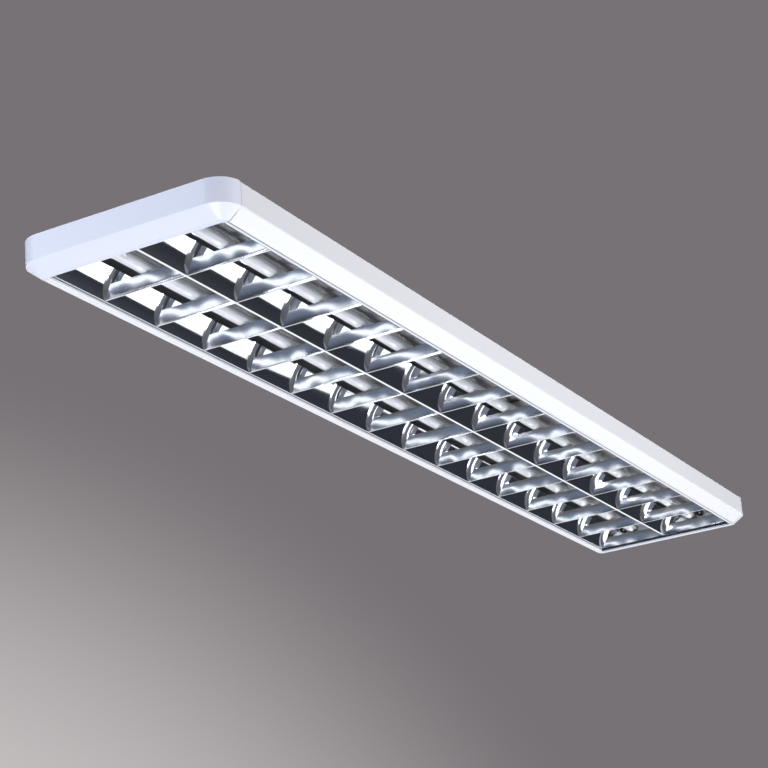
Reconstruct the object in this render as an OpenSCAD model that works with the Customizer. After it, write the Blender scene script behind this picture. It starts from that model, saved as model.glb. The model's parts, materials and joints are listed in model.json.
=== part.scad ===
// Surface-mounted twin-lamp ceiling light with a mirror louvre.
// Millimetres. The origin is the middle of the face that lies on the ceiling, +Z points up, X runs
// along the lamps and Y across them. Modules draw in heights above the lower rim, and from_rim()
// brings them down to the ceiling face. Pieces of the far end are drawn at +X, those of the near
// end are their mirror images, and the left row of lamps and mirrors lies at +Y.

/* [Lamps] */
// Length of a lamp between its cap faces
lamp_len = 1449; // [1149:1:1549]
// Diameter of a lamp
lamp_d = 16; // [14:0.5:16]
// Wall of the glass tube
glass_t = 0.8; // [0.6:0.1:1.2]
// Length of a lamp cap
lamp_cap_len = 12; // [8:0.5:16]
// Length of the contact pins beyond the cap face
pin_len = 7; // [6:0.1:7.2]
// Diameter of a contact pin
pin_d = 2.36; // [2.2:0.01:2.5]
// Distance between the two contact pins
pin_pitch = 4.75; // [4.5:0.05:5]
// Free height between the louvre blades and the lamps
lamp_gap = 1; // [0.5:0.1:2]
// How far each lamp lies inward of the middle of its row
lamp_shift = 3.25; // [2:0.25:5]

/* [Housing] */
// Width of the light opening
opening_w = 218; // [212:1:240]
// Height of the housing from its lower rim to the ceiling
body_h = 40; // [39:0.5:60]
// Width of the flat lip round the light opening
lip_w = 8; // [5:0.5:10]
// Width across the sloping band of the long sides
slope_w = 15; // [13:0.5:20]
// Width across the sloping band of the ends
end_slope_w = 18; // [16:0.5:24]
// Height of the crease between the sloping band and the upright sides
crease_h = 12; // [9:0.5:14]
// Plan radius of the upright corners
corner_r = 28; // [20:0.5:30]
// Plan radius of the corners of the lower rim
rim_corner_r = 9; // [5:0.5:9.5]
// Thickness of the folded steel sheet
sheet_t = 0.8; // [0.6:0.1:1.2]
// Height of the hem turned up along the long edges of the opening
hem_h = 3.5; // [2:0.1:3.8]
// Distance of the ceiling screws from the ends of the opening
screw_inset = 178; // [120:1:300]
// Distance between the two lines of ceiling screws
screw_row_gap = 50; // [40:1:70]
// Diameter of the ceiling screw holes
screw_hole_d = 5.5; // [4.5:0.1:6.5]
// Diameter of the cable hole in the top sheet
cable_hole_d = 20; // [16:0.5:22]

/* [End caps] */
// Wall of the moulded end caps
cap_wall = 2; // [1.6:0.1:2.5]
// Length of the cap's tongue under the top sheet
tongue_len = 20; // [16:1:30]
// Distance of the tongue's edges from the long edges of the opening
tongue_inset = 9; // [7:0.5:18]
// Thickness of the cap's tongue
tongue_t = 2; // [1.5:0.1:2.5]
// Length of the laps inside the long sides
side_lap_len = 10; // [6:1:14]
// Distance of the end cap screws from the seam
cap_screw_inset = 10; // [8:0.5:12]
// Distance between the two screws of an end cap
cap_screw_span = 160; // [150:1:166]

/* [Screws] */
// Diameter of the inner screws
screw_d = 3; // [2.5:0.1:3.5]
// Diameter of their heads
screw_head_d = 6; // [5:0.1:6.6]
// Thickness of their heads
screw_head_t = 2; // [1.5:0.1:2.5]
// Diameter of the earth screw
earth_screw_d = 4; // [3.5:0.1:5]
// Diameter of the earth screw's head
earth_head_d = 8; // [7:0.1:9]
// Thickness of the earth screw's head
earth_head_t = 2.5; // [2:0.1:3]
// Diameter of the washer under the earth screw
earth_washer_d = 10; // [9.5:0.1:12]
// Thickness of the washer and of the ring lug beside it
lug_t = 0.8; // [0.6:0.1:1]

/* [End brackets] */
// Thickness of the bracket sheet
bracket_t = 1; // [0.8:0.1:1.5]
// Depth of the lampholders along the lamps
holder_depth = 15; // [12:0.5:16]
// How far the lampholder faces stand inside the ends of the opening
holder_inset = 3; // [2.5:0.1:4]
// Free length between a lamp's cap face and its lampholder
lamp_end_gap = 0.5; // [0.3:0.1:1]
// How far the foot reaches inward of the lampholder faces
foot_reach = 17; // [15:0.5:25]
// Width of the ears that carry the louvre pins
ear_w = 12; // [9:0.5:14]
// Height of the ears' lower end above the rim
ear_bottom = 5.5; // [5:0.1:7]
// Height of the web's lower edge above the rim
web_bottom = 14; // [13:0.5:17]
// Diameter of the wire holes in the web
wire_hole_d = 7; // [5:0.5:9]
// Width of the tabs that hold the end plates
tab_w = 12; // [10:0.5:13]
// Distance from a fastener's axis out to the middle of its tab
tab_shift = 2; // [1:0.1:2.5]

/* [Lampholders] */
// Plastic round the lamp diameter
holder_margin = 1.5; // [1:0.1:2]
// Diameter of the turning contact rotor
rotor_d = 11.4; // [10:0.1:12]
// Length of the rotor
rotor_len = 7.3; // [7:0.1:9]
// Free width round a pin in the rotor's slot
rotor_slot_play = 0.34; // [0.2:0.02:0.5]
// Width of the slot by which the pins enter
entry_slot_w = 2.8; // [2.7:0.1:3.2]

/* [End plates] */
// Thickness of the reflecting end plates
plate_t = 0.8; // [0.6:0.1:1]
// Free length between the louvre's end and an end plate
plate_gap = 1; // [0.8:0.1:1.3]
// Height of the end plates' lower edge above the blades
plate_lift = 1; // [0.5:0.1:2]
// Free width round the lamp in the notch
notch_play = 0.8; // [0.5:0.1:1.5]
// Distance from the lamp axis to the fastener axis
fastener_offset = 15; // [14.8:0.1:16]
// Diameter of the fastener's disc
disc_d = 11.4; // [10:0.1:11.6]
// Thickness of the fastener's disc
disc_t = 4.8; // [3:0.1:5]
// Diameter of the recess in the disc
disc_recess_d = 5.2; // [4:0.1:6]
// Depth of that recess
disc_recess = 1.2; // [0.5:0.1:2]
// Diameter of the fastener's shank
shank_d = 5; // [4:0.1:6]
// Reach of the fastener's cam from its axis
cam_reach = 8; // [6:0.5:8]
// Width of the cam
cam_w = 4; // [3:0.1:5]
// Thickness of the cam
cam_t = 1.5; // [1:0.1:2]

/* [Louvre] */
// Number of cells along a row
cell_count = 15; // [10:1:18]
// Height of the louvre's lower edges above the rim
louvre_recess = 4; // [4:0.1:6]
// Free width between the louvre and the long edges of the opening
louvre_gap = 1; // [0.6:0.1:2]
// Free length between the louvre's end lips and the ends of the opening
louvre_end_gap = 1.5; // [1:0.1:2]
// Thickness of the mirror sheet
louvre_t = 0.5; // [0.4:0.05:0.7]
// Height of the long mirrors
reflector_h = 23; // [20:0.5:24]
// Radius of the long mirrors' hollow face
reflector_r = 58; // [55:1:80]
// Tilt of the long mirrors from upright at their lower edge
reflector_tilt = 33; // [31:1:35]
// Half the width of the middle mirror's lower edge
spine_foot = 1.6; // [1.2:0.1:2.5]
// Width of the hem along the outer mirrors' lower edges
side_hem = 2.2; // [1.5:0.1:3]
// Width of the flanges folded along the mirrors' upper edges
top_flange = 3.5; // [2:0.5:4]
// Height of the cross blades
blade_h = 14; // [12:0.5:15]
// Radius of the cross blades' hollow flanks
blade_r = 30.4; // [28:0.1:40]
// Tilt of a blade's flank from upright at its lower edge
blade_tilt = 12; // [8:1:14]
// Half the width of a blade's lower edge
blade_foot = 0.8; // [0.7:0.1:1]
// Width of the louvre's end lips
end_lip = 5; // [4.5:0.1:5.5]
// Free width between the end lips and the ears
lip_gap = 4; // [3:0.5:20]
// Diameter of the louvre pins
pivot_d = 4; // [3:0.1:5]
// Distance of the louvre pins from the long edges of the opening
pivot_inset = 13; // [12:0.1:14]
// Height of the louvre pins above the rim
pivot_h = 11; // [10.5:0.1:11.5]

/* [Gear] */
// Length of the ballast case
ballast_len = 360; // [280:1:420]
// Width of the ballast case
ballast_w = 30; // [26:0.5:32]
// Height of the ballast case
ballast_h = 21; // [18:0.5:22]
// Wall of the ballast case
ballast_wall = 0.6; // [0.5:0.1:1]
// Length of a ballast terminal
ballast_term_len = 12; // [8:0.5:20]
// Free width between the ballast and the side of the housing
ballast_side_gap = 1.6; // [1:0.1:2]
// Distance of the ballast's fixing ears from its ends
ballast_ear_inset = 30; // [20:1:60]
// Reach of the ballast's fixing ears
ballast_ear = 7; // [6.8:0.1:8]
// Thickness of the ballast's board
board_t = 1.6; // [1:0.1:2]
// Free height under the board
board_lift = 2.4; // [2:0.1:3]
// Length of the board's coil
coil_len = 56; // [40:1:64]
// Length of the board's heat sink
sink_len = 20; // [14:1:26]
// Distance between the board's capacitors
can_pitch = 26; // [22:1:30]
// Share of the free width and height over the board that these fill
board_fill = 0.8; // [0.6:0.05:0.9]
// Length of the terminal block
block_len = 36; // [30:1:44]
// Width of the terminal block
block_w = 20; // [18:0.5:24]
// Height of the terminal block
block_h = 13; // [11:0.5:14]
// Distance from the middle of the cable hole to the terminal block
block_x = 22; // [21:0.5:30]
// Distance from the terminal block to the earth screw
earth_gap = 32; // [24:1:40]
// Distance between the poles of the terminal block
pole_pitch = 6.3; // [5.8:0.1:6.6]
// Width of a release button
button_w = 5; // [4:0.1:5.2]
// Length of a release button
button_len = 8; // [6:0.1:9]
// Height of a release button
button_h = 5; // [4.5:0.1:6]
// How far a button stands proud of the block
button_proud = 2; // [1.5:0.1:2.5]
// Travel of a release button
button_travel = 1.2; // [0.8:0.1:1.4]
// Wall of the cable grommet
grommet_lip = 2.5; // [2:0.1:3]
// Diameter of the grommet's bore
grommet_bore_d = 11; // [8:0.1:12]
// Thickness of the grommet's lower flange
grommet_flange_t = 2; // [1.5:0.1:2.5]
// Diameter of a supply wire
wire_d = 1.8; // [1.4:0.1:2]
// Free height over the supply wires
wire_drop = 0.8; // [0.5:0.1:1]
// Diameter of a lamp lead
lead_d = 2.6; // [2:0.1:2.8]
// Distance between neighbouring wires
wire_pitch = 3.6; // [3.4:0.1:4]

/* [Fits] */
// Radial play of a part that turns or slides
running_fit = 0.08; // [0.05:0.01:0.1]
// Play of a fixed part in its seat
seat_fit = 0.05; // [0.02:0.01:0.1]
// Play between the louvre blades and the mirrors they slot into
blade_fit = 0.02; // [0.01:0.01:0.05]
// Play between neighbouring pieces that don't touch
free_gap = 0.3; // [0.2:0.05:0.4]

/* [Hidden] */

smooth = 96;
hull_smooth = 32;
slice_t = 0.01;
past = 1;
knuckle = 1.2;

// Lengths of the housing
holder_x = lamp_len / 2 + lamp_end_gap;
opening_x = holder_x + holder_inset;
rim_half_l = opening_x + lip_w;
half_l = rim_half_l + end_slope_w;
seam_lap = 2;
seam_x = min(half_l - corner_r, opening_x - seam_lap);
web_x = holder_x + holder_depth;

// Widths of the housing
opening_y = opening_w / 2;
rim_half_w = opening_y + lip_w;
half_w = rim_half_w + slope_w;
slope_angle = atan(crease_h / slope_w);
end_slope_angle = atan(crease_h / end_slope_w);

// Heights above the rim
sheet_under = body_h - sheet_t;
tongue_under = sheet_under - tongue_t;
foot_under = tongue_under - bracket_t;
reflector_top = louvre_recess + reflector_h;
blade_top = louvre_recess + blade_h;
lamp_h = blade_top + lamp_gap + lamp_d / 2;
plate_bottom = blade_top + plate_lift;

// Mirror arcs of a row, seen along X
side_foot = opening_y - louvre_gap - side_hem;
row_mid = (spine_foot + side_foot) / 2;
arc_h = louvre_recess - reflector_r * sin(reflector_tilt);
spine_arc_y = spine_foot + reflector_r * cos(reflector_tilt);
side_arc_y = 2 * row_mid - spine_arc_y;
lamp_y = row_mid - lamp_shift;
pivot_y = opening_y - pivot_inset;
end_lip_half = pivot_y - ear_w / 2 - lip_gap;
tongue_y = opening_y - tongue_inset;
fastener_y = lamp_y + fastener_offset;

// Lengths of the louvre
louvre_x = opening_x - louvre_end_gap - end_lip;
mirror_x = louvre_x - louvre_t;
pitch = 2 * opening_x / cell_count;
plate_x = louvre_x + plate_gap;
tab_x = plate_x + plate_t;
ear_x = louvre_x + end_lip / 2;
pin_end_x = louvre_x + end_lip;

// Gear on the top sheet
ballast_out = half_w - sheet_t - ballast_side_gap;
ballast_y = -(ballast_out - ballast_w / 2);
ballast_ear_x = ballast_len / 2 - ballast_ear_inset;
block_mid_x = block_x + block_len / 2;
block_end_x = block_x + block_len;
block_ear = 7;
block_ear_w = 10;
earth_x = block_end_x + earth_gap;
screw_x = opening_x - screw_inset;
button_well = button_h - button_proud + button_travel + free_gap / 2;
wire_h = sheet_under - wire_drop - wire_d / 2;

// Height of a mirror face at a distance from the middle, and the distance at a height
function face_y(h) = spine_arc_y - sqrt(pow(reflector_r, 2) - pow(h - arc_h, 2));
function outer_face_y(h) = 2 * row_mid - face_y(h);
function mirrored(right) =
    concat(right, [for (i = [len(right) - 1 : -1 : 0]) [-right[i][0], right[i][1]]]);

module from_rim() translate([0, 0, -body_h]) children();

// Puts a piece drawn for the far left corner into any corner
module corner(end, side) mirror([end < 0 ? 1 : 0, 0, 0]) mirror([0, side < 0 ? 1 : 0, 0]) children();

// A round rod along X from x0 to x1
module rod_x(x0, x1, y, h, d) {
    translate([x0, y, h]) rotate([0, 90, 0]) cylinder(d = d, h = x1 - x0, $fn = smooth);
}

// A section drawn in Y and height, run along X from x0 to x1
module along_x(x0, x1) translate([x0, 0, 0]) rotate([90, 0, 90]) linear_extrude(x1 - x0) children();

// A section drawn in X and height, run along Y from y0 to y1
module along_y(y0, y1) translate([0, y1, 0]) rotate([90, 0, 0]) linear_extrude(y1 - y0) children();

module block(x, y, h) {
    translate([x[0], y[0], h[0]]) cube([x[1] - x[0], y[1] - y[0], h[1] - h[0]]);
}

module ring_2d(r, t) {
    difference() {
        circle(r + t, $fn = smooth);
        circle(r, $fn = smooth);
    }
}

// Cap screws, drawn for both sides of the far end
module cap_screw_holes() {
    for (side = [-1, 1])
        translate([seam_x - cap_screw_inset, side * cap_screw_span / 2, foot_under - past])
            cylinder(d = screw_d + 2 * seat_fit, h = body_h, $fn = smooth);
}

module headed_screw(x, y, under, d, head_d, head_t) {
    translate([x, y, under - head_t]) cylinder(d = head_d, h = head_t, $fn = smooth);
    translate([x, y, under - head_t / 2])
        cylinder(d = d, h = body_h - seat_fit * 2 - under + head_t / 2, $fn = smooth);
}

// Folded steel channel: top sheet, upright sides, sloping bands, lips and hems
module housing_channel() color("white") from_rim() {
    bend = sheet_t * tan(slope_angle / 2);
    crease_bend = sheet_t * tan((90 - slope_angle) / 2);
    difference() {
        along_x(-seam_x, seam_x) polygon(mirrored([
            [half_w, body_h], [half_w, crease_h], [rim_half_w, 0], [opening_y, 0],
            [opening_y, hem_h], [opening_y + sheet_t, hem_h], [opening_y + sheet_t, sheet_t],
            [rim_half_w - bend, sheet_t], [half_w - sheet_t, crease_h + crease_bend],
            [half_w - sheet_t, sheet_under]
        ]));
        for (end = [-1, 1], side = [-1, 1])
            translate([end * screw_x, side * screw_row_gap / 2, sheet_under - past])
                cylinder(d = screw_hole_d, h = body_h, $fn = smooth);
        translate([0, 0, sheet_under - past]) cylinder(d = cable_hole_d, h = body_h, $fn = smooth);
        translate([earth_x, 0, sheet_under - past])
            cylinder(d = earth_screw_d + 2 * seat_fit, h = body_h, $fn = smooth);
        for (x = [-ballast_ear_x, ballast_ear_x])
            translate([x, gear_ear_y(), sheet_under - past])
                cylinder(d = screw_d + 2 * seat_fit, h = body_h, $fn = smooth);
        translate([block_x - block_ear / 2, 0, sheet_under - past])
            cylinder(d = screw_d + 2 * seat_fit, h = body_h, $fn = smooth);
        cap_screw_holes();
        mirror([1, 0, 0]) cap_screw_holes();
    }
}
function gear_ear_y() = ballast_y + ballast_w / 2 + ballast_ear / 2;

// Plan of an end cap from x0 to its end, with both corners rounded
module cap_plan(x0, x_end, y_end, r, fine) {
    intersection() {
        union() {
            translate([x0, r - y_end]) square([x_end - x0, 2 * (y_end - r)]);
            if (x_end - r > x0) translate([x0, -y_end]) square([x_end - r - x0, 2 * y_end]);
            for (side = [-1, 1]) translate([x_end - r, side * (y_end - r)]) circle(r, $fn = fine);
        }
        translate([x0, -y_end]) square([x_end - x0, 2 * y_end]);
    }
}

// Sloping band between a rim plan at h0 and a crease plan at h1, both set in by the same wall
module cap_band(x0, h0, h1, wall) {
    hull() {
        translate([0, 0, h0]) linear_extrude(slice_t)
            cap_plan(x0, rim_half_l - wall * tan(end_slope_angle / 2),
                rim_half_w - wall * tan(slope_angle / 2), rim_corner_r - wall / 2, hull_smooth);
        translate([0, 0, h1 - slice_t]) linear_extrude(slice_t)
            cap_plan(x0, half_l - wall, half_w - wall, corner_r - wall, hull_smooth);
    }
}

// Moulded cap with a tongue under the top sheet and laps inside the long sides
module end_cap() color("white") from_rim() {
    inner_crease = crease_h + cap_wall * tan((90 - slope_angle) / 2);
    lap_out = half_w - sheet_t - seat_fit * 2;
    difference() {
        union() {
            translate([0, 0, crease_h]) linear_extrude(body_h - crease_h)
                cap_plan(seam_x, half_l, half_w, corner_r, smooth);
            cap_band(seam_x, 0, crease_h, 0);
        }
        translate([0, 0, inner_crease]) linear_extrude(body_h - cap_wall - inner_crease)
            cap_plan(seam_x - past, half_l - cap_wall, half_w - cap_wall, corner_r - cap_wall, smooth);
        cap_band(seam_x - past, cap_wall, inner_crease, cap_wall);
        block([seam_x - past, opening_x], [-opening_y, opening_y], [-past, cap_wall + past]);
    }
    difference() {
        block([seam_x - tongue_len, seam_x + cap_wall], [-tongue_y, tongue_y],
            [tongue_under, sheet_under]);
        cap_screw_holes();
    }
    for (side = [0, 1]) mirror([0, side, 0])
        block([seam_x - side_lap_len, seam_x + cap_wall], [lap_out - cap_wall, lap_out],
            [inner_crease + past, tongue_under]);
}
module end_cap_far() end_cap();
module end_cap_near() mirror([1, 0, 0]) end_cap();

module end_cap_screws() color("silver") from_rim()
    for (end = [-1, 1], side = [-1, 1])
        headed_screw(end * (seam_x - cap_screw_inset), side * cap_screw_span / 2, foot_under,
            screw_d, screw_head_d, screw_head_t);

// Folded bracket: foot under the tongue, web behind the lampholders, ears and tabs
module end_bracket() color("silver") from_rim() {
    half = pivot_y + ear_w / 2 + cap_wall;
    foot_x0 = holder_x - foot_reach;
    ear_half = ear_w / 2;
    difference() {
        union() {
            block([foot_x0, web_x + bracket_t], [-half, half], [foot_under, tongue_under]);
            block([web_x, web_x + bracket_t], [-half, half], [web_bottom, tongue_under]);
            for (y = [-pivot_y, pivot_y])
                block([ear_x, ear_x + bracket_t], [y - ear_half, y + ear_half],
                    [ear_bottom, foot_under + bracket_t / 2]);
            for (y = [-fastener_y - tab_shift, fastener_y + tab_shift])
                block([tab_x, tab_x + bracket_t], [y - tab_w / 2, y + tab_w / 2],
                    [plate_bottom - plate_lift, foot_under + bracket_t / 2]);
        }
        for (y = [-lamp_y, lamp_y]) rod_x(web_x - past, web_x + bracket_t + past, y, lamp_h, wire_hole_d);
        for (y = [-fastener_y, fastener_y])
            rod_x(tab_x - past, tab_x + bracket_t + past, y, lamp_h, shank_d + 2 * running_fit);
        rod_x(ear_x - past, ear_x + bracket_t + past, pivot_y, pivot_h, pivot_d + 2 * running_fit);
        rod_x(ear_x - past, ear_x + bracket_t + past, -pivot_y, pivot_h, pivot_d + 2 * free_gap);
        block([ear_x - past, ear_x + bracket_t + past],
            [-pivot_y - pivot_d / 2 - free_gap, -pivot_y + pivot_d / 2 + free_gap],
            [ear_bottom - past, pivot_h]);
        cap_screw_holes();
    }
}
module end_bracket_far() end_bracket();
module end_bracket_near() mirror([1, 0, 0]) end_bracket();

// Plastic lampholder with a turning rotor's bore and the pins' entry slot
module lampholder() color("white") from_rim() {
    holder_r = lamp_d / 2 + holder_margin;
    bore_x1 = holder_x + rotor_len + free_gap;
    difference() {
        union() {
            rod_x(holder_x, web_x, lamp_y, lamp_h, 2 * holder_r);
            block([holder_x, web_x], [lamp_y - holder_r, lamp_y + holder_r], [lamp_h, foot_under]);
        }
        block([holder_x - past, web_x + past], [lamp_y - holder_r, lamp_y + holder_r],
            [foot_under, body_h]);
        rod_x(holder_x - past, bore_x1, lamp_y, lamp_h, rotor_d + 2 * running_fit);
        block([holder_x - past, bore_x1], [lamp_y - entry_slot_w / 2, lamp_y + entry_slot_w / 2],
            [lamp_h - holder_r - past, lamp_h]);
    }
}
module lampholder_near_left() corner(-1, 1) lampholder();
module lampholder_near_right() corner(-1, -1) lampholder();
module lampholder_far_left() corner(1, 1) lampholder();
module lampholder_far_right() corner(1, -1) lampholder();

// Reflecting plate behind the last cell, notched round the lamp
module end_plate() color("gainsboro") from_rim() {
    margin = louvre_gap + louvre_t;
    notch_r = lamp_d / 2 + notch_play;
    low_in = face_y(plate_bottom) + margin;
    top_in = face_y(reflector_top) + margin;
    difference() {
        along_x(plate_x, plate_x + plate_t) polygon([
            [low_in, plate_bottom], [top_in, reflector_top], [top_in, foot_under],
            [2 * row_mid - top_in, foot_under], [2 * row_mid - top_in, reflector_top],
            [2 * row_mid - low_in, plate_bottom]
        ]);
        rod_x(plate_x - past, plate_x + plate_t + past, lamp_y, lamp_h, 2 * notch_r);
        block([plate_x - past, plate_x + plate_t + past], [lamp_y - notch_r, lamp_y + notch_r],
            [plate_bottom - past, lamp_h]);
        rod_x(plate_x - past, plate_x + plate_t + past, fastener_y, lamp_h, shank_d + 2 * running_fit);
    }
}
module end_plate_near_left() corner(-1, 1) end_plate();
module end_plate_near_right() corner(-1, -1) end_plate();
module end_plate_far_left() corner(1, 1) end_plate();
module end_plate_far_right() corner(1, -1) end_plate();

// Quarter-turn fastener: disc in front of the plate, shank, and a cam behind the tab
module fastener() color("black") from_rim() {
    disc_x1 = plate_x - 2 * running_fit;
    disc_x0 = disc_x1 - disc_t;
    cam_x0 = tab_x + bracket_t + free_gap;
    difference() {
        rod_x(disc_x0, disc_x1, fastener_y, lamp_h, disc_d);
        rod_x(disc_x0 - past, disc_x0 + disc_recess, fastener_y, lamp_h, disc_recess_d);
    }
    rod_x(disc_x1 - slice_t, cam_x0 + cam_t, fastener_y, lamp_h, shank_d);
    block([cam_x0, cam_x0 + cam_t], [fastener_y, fastener_y + cam_reach],
        [lamp_h - cam_w / 2, lamp_h + cam_w / 2]);
}
module fastener_near_left() corner(-1, 1) fastener();
module fastener_near_right() corner(-1, -1) fastener();
module fastener_far_left() corner(1, 1) fastener();
module fastener_far_right() corner(1, -1) fastener();

// Contact rotor that turns with the lamp's pins
module rotor() color("whitesmoke") from_rim() {
    rotor_x0 = holder_x + running_fit;
    slot_w = pin_d + rotor_slot_play;
    difference() {
        rod_x(rotor_x0, rotor_x0 + rotor_len, lamp_y, lamp_h, rotor_d);
        block([rotor_x0 - past, rotor_x0 + pin_len - free_gap],
            [lamp_y - rotor_d, lamp_y + rotor_d], [lamp_h - slot_w / 2, lamp_h + slot_w / 2]);
    }
}
module rotor_near_left() corner(-1, 1) rotor();
module rotor_near_right() corner(-1, -1) rotor();
module rotor_far_left() corner(1, 1) rotor();
module rotor_far_right() corner(1, -1) rotor();

// Glass tube of a lamp
module lamp_tube(side) color("white") from_rim() {
    tube_x = lamp_len / 2 - lamp_cap_len;
    difference() {
        rod_x(-tube_x, tube_x, side * lamp_y, lamp_h, lamp_d);
        rod_x(-tube_x - past, tube_x + past, side * lamp_y, lamp_h, lamp_d - 2 * glass_t);
    }
}
module lamp_tube_left() lamp_tube(1);
module lamp_tube_right() lamp_tube(-1);

// Metal cap of a lamp with its plug and two contact pins
module lamp_cap() from_rim() {
    cap_x1 = lamp_len / 2;
    cap_x0 = cap_x1 - lamp_cap_len;
    rod_x(cap_x0, cap_x1, lamp_y, lamp_h, lamp_d);
    rod_x(cap_x0 - lamp_cap_len / 3, cap_x0 + slice_t, lamp_y, lamp_h, lamp_d - 2 * (glass_t + seat_fit));
    for (pin = [-1, 1])
        rod_x(cap_x1 - slice_t, cap_x1 + pin_len, lamp_y + pin * pin_pitch / 2, lamp_h, pin_d);
}
module lamp_caps_left() color("silver") for (end = [-1, 1]) corner(end, 1) lamp_cap();
module lamp_caps_right() color("silver") for (end = [-1, 1]) corner(end, -1) lamp_cap();

// Long mirror beside a row, hollow towards its lamp, with a flange above and a hem below
module side_reflector() color("lightsteelblue") from_rim() {
    edge_y = outer_face_y(reflector_top);
    along_x(-mirror_x, mirror_x) {
        intersection() {
            translate([side_arc_y, arc_h]) ring_2d(reflector_r, louvre_t);
            translate([row_mid, louvre_recess]) square([opening_y, reflector_h]);
        }
        translate([edge_y, reflector_top - louvre_t]) square([top_flange, louvre_t]);
        translate([side_foot, louvre_recess]) square([side_hem, louvre_t]);
    }
}
module side_reflector_left() side_reflector();
module side_reflector_right() mirror([0, 1, 0]) side_reflector();

// Middle mirror between the rows, a V with hollow flanks and flanges folded inward
module spine_reflector() color("lightsteelblue") from_rim() {
    edge_y = face_y(reflector_top);
    along_x(-mirror_x, mirror_x) {
        for (side = [0, 1]) mirror([side, 0]) {
            intersection() {
                translate([spine_arc_y, arc_h]) ring_2d(reflector_r, louvre_t);
                translate([0, louvre_recess]) square([row_mid, reflector_h]);
            }
            translate([edge_y - top_flange, reflector_top - louvre_t]) square([top_flange, louvre_t]);
        }
        translate([-spine_foot, louvre_recess]) square([2 * spine_foot, louvre_t]);
    }
}

// Space between the two mirror faces of the left row
module row_space() {
    inner_d = 2 * (reflector_r - blade_fit);
    intersection() {
        children();
        union() {
            rod_x(-opening_x, opening_x, spine_arc_y, arc_h, inner_d);
            rod_x(-opening_x, opening_x, side_arc_y, arc_h, inner_d);
        }
    }
}

// One flank of a cross blade on the +X side, its foot edge at x and its hollow face outward
module flank_2d(x) {
    intersection() {
        translate([x + blade_r * cos(blade_tilt), louvre_recess - blade_r * sin(blade_tilt)])
            ring_2d(blade_r, louvre_t);
        translate([0, louvre_recess]) square([blade_h, blade_h]);
    }
}

// Cross blade number k: a V of thin sheet in each row
module cross_blade(k) color("gainsboro") from_rim() {
    x = k * pitch - opening_x;
    for (side = [0, 1]) mirror([0, side, 0]) row_space()
        translate([x, 0, 0]) along_y(0, opening_y) {
            flank_2d(blade_foot);
            mirror([1, 0]) flank_2d(blade_foot);
            translate([-blade_foot, louvre_recess]) square([2 * blade_foot, louvre_t]);
        }
}

// Half blade at the end of the louvre, with a back plate and a lip under the housing's end
module end_rail() color("gainsboro") from_rim() {
    for (side = [0, 1]) mirror([0, side, 0]) row_space()
        along_y(0, opening_y) translate([mirror_x, 0]) mirror([1, 0]) flank_2d(0);
    along_x(mirror_x, louvre_x) intersection() {
        translate([-opening_y, louvre_recess]) square([2 * opening_y, blade_h]);
        union() {
            translate([-row_mid, 0]) square([2 * row_mid, body_h]);
            for (y = [-side_arc_y, side_arc_y])
                translate([y, arc_h]) circle(reflector_r - free_gap, $fn = smooth);
        }
    }
    block([mirror_x, louvre_x + end_lip], [-end_lip_half, end_lip_half],
        [louvre_recess, louvre_recess + louvre_t]);
}
module end_rail_far() end_rail();
module end_rail_near() mirror([1, 0, 0]) end_rail();

// Four pins on the end rails; the left pair is the hinge and the right pair sits in open forks
module louvre_pins() color("silver") from_rim()
    for (end = [-1, 1], side = [-1, 1]) corner(end, side)
        rod_x(louvre_x, pin_end_x, pivot_y, pivot_h, pivot_d);

// Rubber bush in the cable hole
module cable_grommet() color("dimgray") from_rim() {
    flange_r = cable_hole_d / 2 + grommet_lip;
    translate([0, 0, sheet_under - grommet_flange_t]) rotate_extrude($fn = smooth) polygon([
        [grommet_bore_d / 2, 0], [flange_r, 0], [flange_r, grommet_flange_t],
        [cable_hole_d / 2 - seat_fit, grommet_flange_t],
        [cable_hole_d / 2 - seat_fit, grommet_flange_t + sheet_t],
        [grommet_bore_d / 2, grommet_flange_t + sheet_t]
    ]);
}

// Push-wire terminal block with a fixing ear, wire holes and a well for each release button
module terminal_block() color("ivory") from_rim() {
    block_under = sheet_under - block_h;
    entry_h = block_under + block_h / 2;
    difference() {
        union() {
            block([block_x, block_end_x], [-block_w / 2, block_w / 2], [block_under, sheet_under]);
            block([block_x - block_ear, block_x + past], [-block_ear_w / 2, block_ear_w / 2],
                [sheet_under - bracket_t, sheet_under]);
        }
        for (pole = [-1, 0, 1]) {
            well = button_w / 2 + 3 * seat_fit;
            block([button_x0() - seat_fit * 3, button_x0() + button_len + seat_fit * 3],
                [pole * pole_pitch - well, pole * pole_pitch + well],
                [block_under - past, block_under + button_well]);
            rod_x(block_x - past, block_x + block_len / 5, pole * pole_pitch, entry_h, wire_d * 2);
        }
        translate([block_x - block_ear / 2, 0, sheet_under - bracket_t - past])
            cylinder(d = screw_d + 2 * seat_fit, h = body_h, $fn = smooth);
    }
}
function button_x0() = block_mid_x - button_len / 2;

module terminal_button(pole) color("orange") from_rim() {
    button_under = sheet_under - block_h - button_proud;
    y = (pole - 2) * pole_pitch;
    block([button_x0(), button_x0() + button_len], [y - button_w / 2, y + button_w / 2],
        [button_under, button_under + button_h]);
}
module terminal_button_1() terminal_button(1);
module terminal_button_2() terminal_button(2);
module terminal_button_3() terminal_button(3);

// Earth screw with its washer, the ring lug lies above the washer
module earth_screw() color("goldenrod") from_rim() {
    washer_top = sheet_under - lug_t;
    headed_screw(earth_x, 0, washer_top - lug_t, earth_screw_d, earth_head_d, earth_head_t);
    translate([earth_x, 0, washer_top - lug_t]) difference() {
        cylinder(d = earth_washer_d, h = lug_t, $fn = smooth);
        translate([0, 0, -past])
            cylinder(d = earth_screw_d + 2 * seat_fit, h = lug_t + 2 * past, $fn = smooth);
    }
}

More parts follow.
